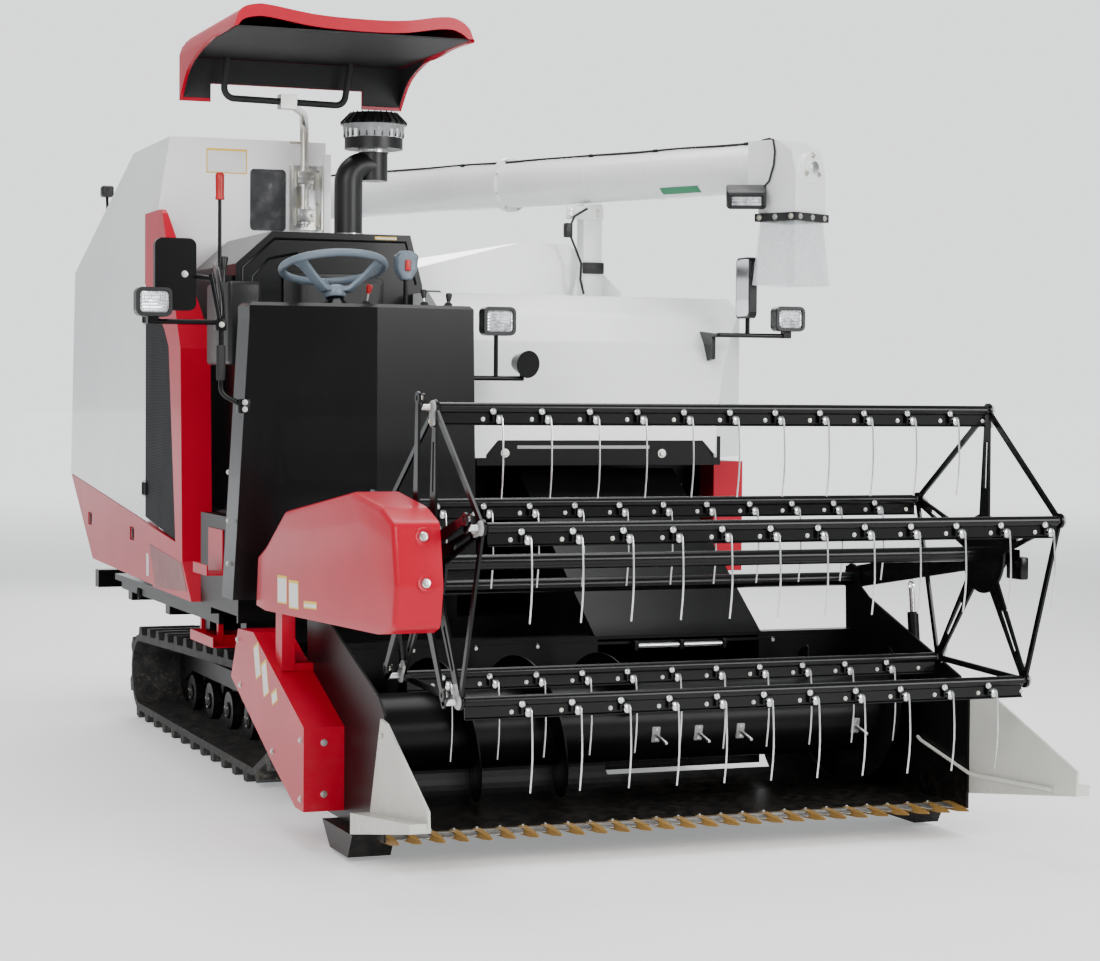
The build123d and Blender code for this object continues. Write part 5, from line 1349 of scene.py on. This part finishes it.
# --- unloading auger ----------------------------------------------------------------------
@dataclass
class Unloader:
    """Cable, lamp, bolts and label on the unloading auger."""

    foot: Point = (-310.0, 2145.0, 0.0)
    way: Point = (0.46205, -0.88685, 0.0)
    side: Point = (0.88685, 0.46205, 0.0)
    axis_z: float = 2333.0
    radius: float = 95.0
    flange: Flat = (1797.0, 12.0)
    clips: tuple[float, ...] = (190.0, 900.0, 1560.0, 2274.0, 2610.0, 3060.0)
    band: tuple[float, float, float] = (3150.0, 3342.0, 107.0)
    band_z: float = 2135.0
    bearing_drop: float = 12.0
    drop: tuple[tuple[float, float, float], ...] = (
        (3140, -46, 2433), (3190, -72, 2434), (3228, -98, 2425), (3240, -104, 2380),
        (3236, -105, 2330), (3216, -106, 2270), (3180, -112, 2235), (3160, -128, 2222),
    )

    def at(self, along: float, across: float, z: float) -> Point:
        """Place by its distance along the pipe, across it and above the ground."""
        place = Vector(self.foot) + Vector(self.way) * along + Vector(self.side) * across
        return (place.x, place.y, z)

    def on_skin(self, along: float, degrees: float, off: float = 0.0) -> Point:
        """Place on the pipe's skin by an angle from its top towards the near side.

        Args:
            along: Distance from the pipe's start.
            degrees: Turn from the top.
            off: Height above the skin.

        Returns:
            The place, in millimetres.
        """
        turn = math.radians(degrees)
        reach = self.radius + off
        return self.at(along, -reach * math.sin(turn), self.axis_z + reach * math.cos(turn))

    def cable(self) -> None:
        """Clip the lamp's cable along the top of the pipe."""
        path = []
        for i in range(62):
            sway, lift = 1.2 * math.sin(i * 0.8), 0.8 * math.sin(i * 0.5)
            path.append(self.on_skin(150 + 48.5 * i, 22 + sway, 5.0 + lift))
        wire = tube(path + [self.at(*spot) for spot in self.drop], 4.5, SOFT_RUBBER)
        low, high = self.radius - 1, self.radius + 1.6
        bands = []
        for along in self.clips:
            band = turned([(low, -7), (high, -7), (high, 7), (low, 7)], WHITE, 48)
            saddle = rod(7.5, -8, 8, BLACK_PLASTIC, 12).put(aim(self.on_skin(along, 24, 5), self.way))
            bands += [band.put(aim(self.at(along, 0, self.axis_z), self.way)), saddle]
        wire.join(*bands).set_down("pipe_cable", "unloader")

    def lamp(self) -> None:
        """Hang the hooded work lamp by the spout."""
        hood = block((-76, -40, -34), (76, 46, 34), BLACK_PLASTIC, 0)
        hood.push(faces_front, (0, -16, -5), 0.88).bevel(9, 3).inset(faces_front, 8, 10)
        lens = block((-56, -48, -27), (56, -44, 17), LENS, 3)
        arm = block((-16, 40, -8), (16, 66, 8), FRAME_BLACK, 3)
        turn = Matrix.Translation(self.at(3150, -160, 2212)) @ spin(-24)
        hood.join(lens, arm).put(turn @ spin(22, "X")).set_down("work_lamp", "unloader")

    def label(self) -> None:
        """Stick the blank green label under the pipe."""
        along, length, low, high = 2660, 190, 128, 150
        reach = self.radius + 0.7
        patch = turned([(reach, 0), (reach, length)], GREEN_LABEL, 10, math.radians(high - low))
        patch.modifier("SOLIDIFY", thickness=0.5, offset=1.0)
        lean = aim(self.at(along, 0, self.axis_z), self.way)
        near = lean.inverted() @ Vector(self.on_skin(along, high))
        turn = math.degrees(math.atan2(near.y, near.x))
        patch.put(lean @ spin(turn)).set_down("pipe_label", "unloader")

    def bearing(self) -> None:
        """Fit the auger's bearing on the elbow's end."""
        z = self.axis_z - self.bearing_drop
        profile = [(0, 0), (60, 0), (60, 38), (56, 42), (32, 42), (30, 49), (14, 50), (0, 50)]
        boss = turned(profile, WHITE, 32)
        cap = turned([(15, 48), (24, 48), (24, 54), (18, 57), (0, 57)], BRIGHT, 20)
        boss.join(cap).put(aim(self.at(3298, 0, z), self.way)).set_down("elbow_bearing", "unloader")
        spots = []
        for turn in map(math.radians, (90, 210, 330)):
            spots.append((self.at(3340, 46 * math.cos(turn), z + 46 * math.sin(turn)), self.way))
        bolt_set("bearing_bolts", "unloader", spots, 14.0)

    def bolts(self) -> None:
        """Bolt the pipe's flange, the spout's band and the lift pin."""
        along, half = self.flange
        near, back = tuple(-Vector(self.side)), tuple(-Vector(self.way))
        spots = []
        for turn in (22.5 + 45 * step for step in range(8)):
            spots.append((self.on_skin(along - half, turn, 9), back))
            spots.append((self.on_skin(along + half, turn, 9), self.way))
        bolt_set("flange_bolts", "unloader", spots, 9.0)
        low, high, across = self.band
        spots = []
        for off, way in ((-across, near), (across, self.side)):
            spots += [(self.at(s, off, self.band_z), way) for s in (low + 22, (low + high) / 2, high - 22)]
        spots += [(self.at(high, a, self.band_z), self.way) for a in (-78, 0, 78)]
        bolt_set("band_bolts", "unloader", spots, 14.0)
        caps = []
        for off, way in ((-100.5, near), (100.5, self.side)):
            caps.append(rod(17, 15, 18, ZINC, 20).put(aim(self.at(0, off, self.axis_z), way)))
        weld(caps).set_down("lift_pin_caps", "unloader")

    def build(self) -> None:
        """Fit the pipe out."""
        self.cable()
        self.lamp()
        self.label()
        self.bearing()
        self.bolts()


# --- body details -------------------------------------------------------------------------
@dataclass
class Details:
    """Brackets, labels, bolts and rails on the fixed body."""

    rest: Flat = (722.0, 163.0)
    rest_half: float = 40.0
    wells: tuple[Flat, ...] = ((2114.0, 881.0), (1167.0, 863.0))
    side_x: float = -940.0
    intake: tuple[Point, ...] = ((-255.0, 300.0, 2085.0), (-151.0, 300.0, 2425.0))
    reflector: tuple[Flat, ...] = ((712.0, 846.0), (128.0, 806.0), (32.0, 704.0), (588.0, 678.0))
    rollers: tuple[float, ...] = (-190.0, 150.0, 490.0, 830.0, 1170.0, 1500.0)
    roller_z: float = 142.0
    ribs: int = 24
    labels: tuple[tuple[str, str, Point, Point, Flat, float], ...] = (
        ("tank_label", "root", (-656, 680, 2397), FRONT, (168, 100), 0),
        ("hood_label", "root", (-210, -60, 2056), FRONT, (88, 12), 0),
        ("reel_label_1", "reel_frame", (-950, -1318, 812), RIGHT, (118, 92), 2),
        ("reel_label_2", "reel_frame", (-950, -1462, 806), RIGHT, (118, 92), 2),
        ("reel_label_3", "reel_frame", (-950, -1660, 788), RIGHT, (150, 24), 3),
        ("drive_label_1", "header", (-960, -1032, 548), RIGHT, (72, 116), 20),
        ("drive_label_2", "header", (-960, -1138, 500), RIGHT, (72, 116), 20),
        ("drive_label_3", "header", (-960, -1262, 452), RIGHT, (72, 44), 20),
    )

    def sticker(
        self, name: str, body: str, place: Point, way: Point, size: Flat, turn: float, rim: Finish = YELLOW
    ) -> None:
        """Stick a blank label with a coloured rim on a flat face.

        Args:
            name: The piece's name.
            body: The body that it sits on.
            place: Its middle.
            way: The face's normal.
            size: Width and height.
            turn: Turn in its plane, in degrees.
            rim: Finish of its rim.
        """
        width, height = size[0] / 2, size[1] / 2
        edge = block((-width, -height, 0), (width, height, 0.7), rim, 0)
        margin = min(5.0, size[1] / 5)
        field_high = (width - margin, height - margin * 1.8, 1.0)
        blank = block((margin - width, margin - height, 0.2), field_high, PALE_LABEL, 0)
        edge.join(blank).put(aim(place, way, turn)).set_down(name, body)

    def rest_post(self) -> None:
        """Bracket with its foot and clamp, bolts, and the cable with its plug on the pipe's rest."""
        x, y = self.rest
        front = y - self.rest_half
        plate = block((x - 118, front - 8, 2168), (x + 44, front, 2222), WHITE, 3)
        foot = block((x - 62, y - 62, 1845), (x + 62, y + 40, 1853), WHITE, 3)
        clamp = block((x - 46, front - 14, 1950), (x + 46, front, 1996), BLACK_PLASTIC, 4)
        plate.join(foot, clamp).set_down("rest_bracket", "root")
        spots = [((x + a, front - 8, z), FRONT) for a in (-100, 20) for z in (2206, 2184)]
        spots += [((x + a, y - 52, 1853), UP) for a in (-50, 50)]
        bolt_set("rest_bolts", "root", spots)
        route = ((-30, -12, 2212), (-92, -30, 2178), (-120, -34, 2120), (-88, -30, 2052))
        route += ((-60, -26, 1990), (-62, -24, 1925), (-46, -22, 1866))
        wire = tube([(x + a, front + b, z) for a, b, z in route], 5.0, SOFT_RUBBER)
        plug = block((x - 138, front - 46, 2092), (x - 104, front - 20, 2150), BLACK_PLASTIC, 5)
        wire.join(plug).set_down("rest_cable", "root")

    def side_covers(self) -> None:
        """Latches, reflector, label, hook ring and tail lamp on the right side and rear."""
        latches = []
        for y, z in self.wells:
            low, high = (self.side_x + 4, y - 40, z - 24), (self.side_x + 8, y + 40, z + 24)
            latches.append(block(low, high, REFLECTOR, 1.2, 1))
            low, high = (self.side_x - 1, y - 9, z - 21), (self.side_x + 5, y + 9, z + 21)
            latches.append(block(low, high, BLACK_PLASTIC, 2.5))
        weld(latches).set_down("cover_latches", "root")
        reflector = prism([(-962.0, y, z) for y, z in self.reflector], (-1.2, 0, 0), REFLECTOR)
        reflector.inset(lambda centre, normal: normal.x < -FACING, 9.0, 0.5).set_down("reflector", "root")
        self.sticker("cover_label", "root", (self.side_x, 852, 752), RIGHT, (44, 92), 0, PALE_LABEL)
        turns = [math.tau * i / 20 for i in range(20)]
        ring = [(-905, 1194 + 17 * math.cos(turn), 612 + 26 * math.sin(turn)) for turn in turns]
        tube(ring, 5.0, FRAME_BLACK, closed=True).set_down("hook_ring", "root")
        stem = tube([(-844, 2195, 2140), (-844, 2195, 2250), (-850, 2190, 2362)], 7, FRAME_BLACK)
        head = block((-876, 2160, 2352), (-822, 2226, 2404), BLACK_PLASTIC, 10, 3)
        stem.join(head).set_down("tail_lamp", "root")

    def intake_bands(self) -> None:
        """Hose bands on the intake, and the ribs and slats of its pre-cleaner."""
        bands = []
        for place in self.intake:
            band = turned([(59, -8), (61.6, -8), (61.6, 8), (59, 8), (59, -8)], BRIGHT, 36)
            screw = block((-12, -74, -7), (20, -61, 7), BRIGHT, 3).put(spin(-28))
            bands.append(band.join(screw).put(Matrix.Translation(place)))
        weld(bands).set_down("intake_bands", "root")
        x, y, _ = self.intake[1]
        spots = [shift(x, y, 0) @ spin(360 * i / self.ribs) for i in range(self.ribs)]
        outline = [(a, -1.6, z) for a, z in ((88, 2566), (120, 2542), (132, 2527), (134, 2537), (94, 2578))]
        prism(outline, (0, 3.2, 0), BLACK_PLASTIC).spread(spots).set_down("cap_ribs", "root")
        slat = block((116, -2.5, 2476), (121, 2.5, 2526), BLACK_PLASTIC, 0)
        slat.spread(spots).set_down("bowl_slats", "root")

    def rails(self) -> None:
        """Console, handle, lever and clamps at the operator's entrance."""
        block((-914, -420, 1560), (-790, -66, 1862), BLACK_PLASTIC, 16, 3).set_down("side_console", "root")
        path = [(-880, -110, 1850), (-890, -130, 1915), (-912, -200, 1940), (-950, -400, 1900)]
        path += [(-984, -600, 1800), (-1010, -730, 1722), (-1030, -784, 1680)]
        tube(path, 11, BLACK, 12).modifier("SUBSURF", levels=1).set_down("entry_handle", "root")
        sleeve = turned([(0, 0), (15, 0), (16, 3), (16, 118), (15, 121), (0, 121)], SOFT_RUBBER, 18)
        sleeve.put(aim((-1031, -790, 1500)))
        clamp = block((-972, -812, 1386), (-930, -768, 1436), FRAME_BLACK, 4)
        upper = block((-1052, -808, 1672), (-1014, -772, 1712), FRAME_BLACK, 5)
        sleeve.join(clamp, upper).set_down("stay_sleeve", "root")
        spots = [(spot, FRONT) for spot in ((-951, -812, 1400), (-951, -812, 1424), (-1033, -808, 1692))]
        spots += [((-989, -730, z), RIGHT) for z in (860, 1010, 1180)]
        bolt_set("stay_bolts", "root", spots, 12.0)
        stem = turned([(0, 0), (7, 0), (6, 60), (0, 60)], BLACK_PLASTIC, 10)
        knob = turned([(0, 50), (8, 50), (15, 92), (13, 100), (0, 102)], BLACK_PLASTIC, 14)
        stem.join(knob).put(aim((-892, -250, 1858), (0.05, 0.1, 1))).set_down("short_lever", "root")

    def front(self) -> None:
        """Black panel, seal and bolts under the front cover's arch, and the canopy post's clamps."""
        panel = block((-20, -590, 1196), (968, -585, 1306), FRAME_BLACK, 0)
        seal = block((138, -594, 1258), (671, -589, 1270), CAST, 1, 1)
        panel.join(seal).set_down("arch_panel", "root")
        bolt_set("arch_bolts", "root", [((91, -590, 1242), FRONT), ((724, -590, 1240), FRONT)], 20.0)
        spots = [((x, 672, z), FRONT) for x in (-388, -274) for z in (2146, 2238, 2374)]
        bolt_set("post_bolts", "root", spots, 14.0)
        heights = (2183, 2336)
        caps = [block((-379, 601, z - 26), (-311, 615, z + 26), ZINC, 4) for z in heights]
        weld(caps).set_down("post_clamps", "root")
        spots = [((x, 601, z), FRONT) for x in (-371, -319) for z in heights]
        bolt_set("post_clamp_bolts", "root", spots, 12.0)
        block((892, -236, 1096), (968, -200, 1112), ZINC, 3).set_down("thresher_latch", "root")

    def canopy_skirt_insides(self) -> None:
        """Cover the insides of the canopy's rear and side skirts with thin black sheets."""
        back = [(-916, 2604), (-916, 2756), (-42, 2756), (-42, 2604)]
        back += [(-193, 2604), (-193, 2662), (-810, 2662), (-810, 2604)]
        # thin black sheets that make the insides of the skirts black
        skirt_insides = prism([(x, 316, z) for x, z in back], (0, -4, 0), CANOPY_UNDERSIDE)
        flank = [(-60, 2756), (0, 2747), (200, 2697), (311, 2608), (311, 2756)]
        for x in (-917.0, -44.0):
            skirt_insides.join(prism([(x, y, z) for y, z in flank], (3.5, 0, 0), CANOPY_UNDERSIDE))
        skirt_insides.set_down("canopy_skirt_insides", "root")

    def hood_ribs(self) -> None:
        """Moulded ribs and the duct on the engine hood's front."""
        outer = ((-772, 1560), (-772, 1930), (-650, 2042), (-130, 2042), (-88, 1880))
        inner = ((-735, 1560), (-735, 1896), (-672, 1966), (-560, 1990))
        ribs = [tube([(x, -60, z) for x, z in line], 5.0, BLACK) for line in (outer, inner)]
        profile = [(0, 0), (58, 0), (64, 6), (64, 90), (58, 96), (46, 96), (44, 60), (0, 58)]
        duct = turned(profile, BLACK_PLASTIC, 28).put(aim((-61, 10, 1800), LEFT))
        weld([*ribs, duct]).set_down("hood_ribs", "root")

    def roller_caps(self) -> None:
        """Hub caps with their bolts on the outer faces of the track rollers."""
        profile = [(0, 0), (34, 0), (34, 5), (27, 9), (18, 9), (16, 12), (0, 13)]
        z = self.roller_z
        for name, x, way in (("right", -605.0, RIGHT), ("left", 795.0, LEFT)):
            caps = turned(profile, FRAME_BLACK, 24).spread([aim((x, y, z), way) for y in self.rollers])
            caps.set_down(f"roller_caps_{name}", "root")
            rings = [circle((x + way[0] * 8, y, z), 23, (0.5, 2.6, 4.7)) for y in self.rollers]
            bolt_set(f"roller_bolts_{name}", "root", [(spot, way) for ring in rings for spot in ring], 7.0)

    def left_side(self) -> None:
        """Latches, hinges and screws on the left covers."""
        pieces = []
        for z in (1290, 1130):
            for y in (350, 1750):
                pieces.append(block((1149, y - 44, z - 26), (1153, y + 44, z + 26), BLACK_PLASTIC))
                pieces.append(block((1152, y - 34, z - 7), (1164, y + 34, z + 7), BLACK_PLASTIC, 4))
        for place in ((1152, y, z) for y in (-10, 2330) for z in (1300, 1700)):
            pieces.append(rod(8, 0, 70, ZINC, 14).put(aim(place)))
        weld(pieces).set_down("left_latches", "root")
        places = [(y, z) for y in (-370, 120, 1050, 1980, 2320) for z in (800, 1180)]
        places += [(y, 1240) for y in (20, 1050, 2300)]
        bolt_set("left_cover_bolts", "root", [((1150, y, z), LEFT) for y, z in places])

    def build(self) -> None:
        """Fit the fixed body out."""
        self.canopy_skirt_insides()
        self.hood_ribs()
        self.roller_caps()
        self.left_side()
        self.rest_post()
        self.side_covers()
        for label in self.labels:
            self.sticker(*label)
        self.intake_bands()
        self.rails()
        self.front()


# --- canopy -------------------------------------------------------------------------------
@dataclass
class Canopy:
    """Moulded roof with a smooth wave, skirts that deepen rearwards and an arched rear wall."""

    outline: tuple[Flat, ...] = (
        (-930, 2765), (-905, 2822), (-850, 2842), (-790, 2840), (-600, 2815),
        (-330, 2812), (-160, 2836), (-95, 2832), (-48, 2800), (-28, 2745),
    )
    skirt: tuple[Flat, ...] = ((-560, 2762), (-300, 2765), (0, 2740), (200, 2690), (330, 2590))
    slope: tuple[float, float, float] = (230.0, 2850.0, 0.5)
    arch: tuple[float, float, float] = (-808.0, -195.0, 2660.0)
    wall: float = 12.0
    lip: float = 44.0
    steps: int = 5

    def curve(self, points: tuple[Flat, ...]) -> list[Flat]:
        """Catmull-Rom curve through points.

        Args:
            points: Points that the curve goes through.

        Returns:
            The points of the fine curve.
        """
        line = [points[0], *points, points[-1]]
        made = []
        for a, b, c, d in zip(line, line[1:], line[2:], line[3:]):
            for step in range(self.steps):
                t = step / self.steps
                terms = (-t + 2 * t**2 - t**3, 2 - 5 * t**2 + 3 * t**3)
                terms += (t + 4 * t**2 - 3 * t**3, t**3 - t**2)
                made.append(tuple(sum(w * p[k] for w, p in zip(terms, (a, b, c, d))) / 2 for k in (0, 1)))
        return [*made, points[-1]]

    def build(self) -> None:
        """Loft the roof from its section along the machine."""
        section = self.curve(self.outline)
        stations = self.curve(self.skirt)
        start, top, fall = self.slope
        points = []
        for y, low in stations:
            high = top - max(0.0, y - start) * fall
            ring = [(section[0][0], low), *section, (section[-1][0], low)]
            points += [(x, y, min(high, max(low, z))) for x, z in ring]
        width = len(section) + 2
        corners = (row * width + col for row in range(len(stations) - 1) for col in range(width - 1))
        faces = [(corner, corner + 1, corner + 1 + width, corner + width) for corner in corners]
        rear_y, rear_low = stations[-1]
        left, right, crown = self.arch
        last = len(points) - width
        arch = [(right, rear_low), (right, crown), (left, crown), (left, rear_low)]
        points += [(x, rear_y, z) for x, z in arch]
        faces.append(tuple(range(last, len(points))))
        rim = len(points)
        points += [(x, y, max(stations[0][1], z - self.lip)) for x, y, z in points[:width]]
        faces += [(rim + col, rim + col + 1, col + 1, col) for col in range(1, width - 2)]
        shell = sheet(points, [], faces).edit(Pick.FACE).tidy()
        if sum(face.normal.z for face in shell.item.data.polygons) < 0:
            shell.edit(Pick.FACE)
            bpy.ops.mesh.flip_normals()
            shell.leave()
        shell.modifier("SOLIDIFY", thickness=self.wall, offset=-1.0)
        shell.paint(RED).set_down("canopy_shell", "root", "canopy", angle=38.0)


# --- header -------------------------------------------------------------------------------
@dataclass
class Header:
    """Knife, fingers, bolts and trim on the header and the reel's frame."""

    pitch: float = 76.2
    first: float = -798.7
    count: int = 27
    knife_z: float = 96.3
    drum: Flat = (-1500.0, 350.0)
    drum_r: float = 130.0
    hub: Flat = (-2163.0, 949.0)
    cover_x: Flat = (-950.0, -808.0)
    cover_round: float = 26.0
    cover: tuple[Flat, ...] = (
        (-962, 735), (-985, 905), (-1095, 945), (-1335, 1072), (-2115, 1165), (-2400, 1130),
        (-2520, 1090), (-2555, 912), (-2530, 790), (-2470, 770), (-2385, 762), (-1100, 725),
    )
    fingers: tuple[Flat, ...] = (
        (258, 12), (336, 192), (414, 12), (492, 192), (570, 12), (648, 192), (1009, 12),
    )
    divider: tuple[Point, ...] = (
        (1194, -1735, 292), (1194, -1760, 281), (1194, -2080, 214),
        (1196, -2110, 211), (1200, -2150, 213), (1203, -2567, 232),
    )
    plate_bolts: tuple[tuple[float, Point, tuple[Flat, ...]], ...] = (
        (-960, RIGHT, ((-1590, 162), (-1590, 350), (-760, 596), (-800, 440), (-1240, 268))),
        (-893, FRONT, ((-1625, 180), (-1625, 345))),
        (1211, LEFT, ((-1225, 250), (-1225, 520), (-1900, 130), (-1400, 130), (-1960, 470))),
        (1219, LEFT, ((-2030, 200), (-2030, 400))),
        (-834, RIGHT, ((-1960, 160), (-2060, 420))),
    )
    beam: tuple[float, ...] = (-700, -475, -250, -25, 875)

    def knife(self) -> None:
        """Lay the knife's sections and the guards' bolts on the bar."""
        half = self.pitch / 2 - 0.8
        corners = ((-half, -1984), (half, -1984), (7, -2052), (-7, -2052))
        section = prism([(x, y, self.knife_z) for x, y in corners], (0, 0, 2.6), STEEL, 0.8, 1)
        stations = [self.first + self.pitch * (i + 0.5) for i in range(self.count - 1)]
        sections = section.spread([shift(x, 0, 0) for x in stations])
        back = block((-790, -1992, 98.6), (1180, -1972, 103.4), STEEL, 0.8, 1)
        sections.join(back).set_down("knife_sections", "header")
        spots = [((self.first + self.pitch * i, -1962, 104), UP) for i in range(1, self.count - 1)]
        bolt_set("guard_bolts", "header", spots, 9.0)

    def auger_fingers(self) -> None:
        """Retracting fingers in their guides on the auger's drum."""
        pieces = []
        for x, degrees in self.fingers:
            turn = math.radians(180 + degrees)
            out = Vector((0, math.cos(turn), math.sin(turn)))
            root = Vector((x, *self.drum)) + out * (self.drum_r - 3)
            guide = block((-15, -27, -2), (15, 27, 6), CAST, 4)
            for offset in (-18, 18):
                guide.join(turned([(0, 6), (5, 6), (5, 9), (0, 10)], BRIGHT, 10).put(shift(0, offset, 0)))
            finger = turned([(0, 0), (6.5, 0), (6.5, 88), (5, 94), (0, 95)], BRIGHT, 12)
            pieces.append(guide.join(finger).put(aim(tuple(root), tuple(out))))
        weld(pieces).set_down("auger_fingers", "header_auger")

    def trim(self) -> None:
        """Divider rod, trough bars and the bolts on covers and end plates."""
        tube(self.divider, 6.0, CREAM, 10).set_down("divider_rod", "header")
        bars = []
        for low, high in ((342, 500), (520, 668)):
            bars.append(rod(9, 0, high - low, CHROME, 16).put(aim((low, -1262, 584), LEFT)))
        for x in (336, 510, 676):
            bars.append(block((x - 9, -1276, 566), (x + 9, -1247, 602), FRAME_BLACK, 3))
        weld(bars).set_down("trough_rods", "header")
        spots = [((x, y, z), way) for x, way, places in self.plate_bolts for y, z in places]
        bolt_set("header_bolts", "header", spots, 14.0)
        bolt_set("beam_bolts", "header", [((x, -1245, 590), FRONT) for x in self.beam])

    def reel_cover(self) -> None:
        """Moulded reel cover with generous rounds, open below and inside."""
        near, far = self.cover_x
        inside, sole = far - 1, 770
        cover = prism([(near, y, z) for y, z in self.cover], (far - near, 0, 0), RED)

        def hidden(centre: Vector, normal: Vector) -> bool:
            """Rule that picks the open sides."""
            return centre.x > inside or (normal.z < -FACING and centre.z < sole)

        def seen(centre: Vector, way: Vector) -> bool:
            """Rule that picks the edges above the sole."""
            return centre.z > sole - 4 and centre.x < inside

        cover.edit(Pick.FACE, hidden)
        bpy.ops.mesh.delete(type="FACE")
        cover.leave().bevel(self.cover_round, 5, seen)
        cover.modifier("SOLIDIFY", thickness=8.0, offset=-1.0)
        cover.set_down("reel_cover_skin", "reel_frame", "reel_cover", angle=50.0)

    def reel_frame(self) -> None:
        """Cover screws, bearing and motor on the reel's frame."""
        brow_y, brow_z = -2520, 1090
        fall, run = 178, 35
        leaning = (0, -0.981, 0.193)
        heads = []
        for z in (1051.0, 920.0):
            y = brow_y - (brow_z - z) / fall * run
            dish = turned([(0, 0.6), (15, 0.6), (20, 2.2), (25, 2.2), (27, 0)], RED, 24)
            head = turned([(0, 1), (13, 1), (14, 5), (11, 9), (5, 9.5), (4, 7), (0, 7)], BRIGHT)
            heads.append(dish.join(head).put(aim((-860, y, z), leaning)))
        weld(heads).set_down("cover_screws", "reel_frame")
        y, z = self.hub
        flange = turned([(30, 0), (62, 0), (62, 7), (44, 10), (40, 22), (30, 24), (30, 0)], BLACK, 32)
        flange.put(aim((1236, y, z), LEFT))
        box = block((1237, y - 150, z - 78), (1268, y - 58, z - 4), BLACK, 6)
        link = block((1236, y - 140, z - 30), (1241, y - 30, z + 20), BLACK)
        flange.join(box, link).set_down("reel_bearing", "reel_frame")
        spots = [(spot, LEFT) for spot in circle((1243, y, z), 52, (0.6, 2.2, 3.9, 5.5))]
        spots += [((1236, -1280, z), LEFT) for z in (800, 830)]
        bolt_set("reel_frame_bolts", "reel_frame", spots)

    def build(self) -> None:
        """Fit the header out."""
        self.knife()
        self.auger_fingers()
        self.trim()
        self.reel_cover()
        self.reel_frame()


# --- soft edges ---------------------------------------------------------------------------
SOFT_EDGES: dict[float, str] = {
    5.0: "front_column engine_hood side_pillar header_cover front_cover lower_cover_left",
    4.0: "side_cover_rear side_cover_left straw_hood divider_right divider_left unloader_turret "
    "mirror_right mirror_left lamp_centre",
    2.0: "lower_step upper_step platform reel_arms tank_lid intake_pipe",
}


def soften_edges() -> None:
    """Round the pressed covers' edges with Bevel modifiers, by widths in millimetres."""
    for width, names in SOFT_EDGES.items():
        for name in names.split():
            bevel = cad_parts[name].modifiers.new("soft_edge", "BEVEL")
            bevel.width = width * MM
            bevel.segments = 3
            bevel.limit_method = "ANGLE"
            bevel.angle_limit = math.radians(25)
            bevel.harden_normals = False
            LOG.info("%s: edges rounded by %s mm", name, width)


# --- studio ---------------------------------------------------------------------------
@dataclass
class Studio:
    """Floor, soft lights and the camera: metres, degrees and watts, and the lens in millimetres."""

    eye: Point = (-3.0685, -9.2645, 1.4511)
    yaw: float = -21.05
    tilt: float = 88.08
    roll: float = 0.43
    lens: float = 81.61
    sensor: float = 36.0
    daylight: Colour = (0.96, 0.98, 1.0)
    backdrop: Point = (0.36, 0.93, 0.0)
    room: Slope = (0.70, 0.94, 0.40, 0.98)
    screen: Slope = (0.940, 0.957, 0.0, 0.8)
    far: Slope = (6.0, 24.0, 0.32, 1.4)
    floor_size: float = 400.0
    floor_z: float = -0.0005
    floor_greys: Flat = (0.88, 0.92)
    lights: tuple[tuple[Point, Point, float, float], ...] = (
        ((-6.0, -7.5, 5.5), (0.0, 0.0, 1.0), 4.5, 520.0),
        ((4.5, -9.0, 4.2), (0.3, 0.0, 1.2), 4.0, 640.0),
        ((0.0, 0.5, 8.0), (0.0, 0.0, 0.0), 6.5, 700.0),
        ((2.0, 8.0, 4.5), (0.0, 1.0, 1.2), 4.0, 260.0),
    )

    def floor(self) -> None:
        """Lay the pale floor, which grows as bright as the backdrop far behind the machine."""
        bpy.ops.mesh.primitive_plane_add(size=self.floor_size, location=(0.0, 0.0, self.floor_z))
        floor = bpy.context.object
        floor.name = "studio_floor"
        tree = Tree(bpy.data.materials.new("pale_floor"))
        base = tree.mix(tree.noise(1.5, 3.0), *((grey,) * 3 for grey in self.floor_greys))
        glow = {"Emission_Color": self.daylight, "Emission_Strength": tree.slope(self.backdrop, self.far)}
        pale = tree.finish(Base_Color=base, Roughness=0.7, Specular_IOR_Level=0.2, **glow)
        floor.data.materials.append(pale)

    def light(self) -> None:
        """Hang the soft boxes and set the pale surroundings, brightest behind the machine."""
        for index, (place, target, size, power) in enumerate(self.lights):
            lamp = bpy.data.lights.new(f"soft_box_{index}", "AREA")
            lamp.size = size
            lamp.energy = power
            holder = stand(lamp)
            holder.location = place
            holder.rotation_euler = (Vector(target) - Vector(place)).to_track_quat("-Z", "Y").to_euler()
        world = bpy.data.worlds.new("pale_room")
        tree = Tree(world, "Generated")
        strength = tree.slope(self.backdrop, self.room) + tree.slope(self.backdrop, self.screen)
        values = {"Color": (*self.daylight, 1.0), "Strength": strength}
        tree.close(tree.node("ShaderNodeBackground", None, values), "ShaderNodeOutputWorld")
        bpy.context.scene.world = world

    def shoot(self) -> None:
        """Set the camera at the reference view."""
        camera = bpy.data.cameras.new("reference_view")
        camera.lens = self.lens
        camera.sensor_width = self.sensor
        camera.sensor_fit = "HORIZONTAL"
        holder = stand(camera)
        turn = spin(self.yaw) @ spin(self.tilt, "X") @ spin(self.roll)
        holder.matrix_world = Matrix.Translation(self.eye) @ turn
        bpy.context.scene.camera = holder

    def build(self) -> None:
        """Set up the whole studio."""
        self.shoot()
        self.floor()
        self.light()
        LOG.info("studio is set")


def main() -> None:
    """Build and dress everything in order."""
    logging.basicConfig(level=logging.INFO, format="%(message)s")
    bpy.ops.object.select_all(action="DESELECT")
    Studio().build()
    WARDROBE.dress_nodes()
    soften_edges()
    for assembly in (Reel(), Lamps(), Station(), Canopy(), Unloader(), Details(), Header()):
        assembly.build()


if __name__ == "__main__":
    main()
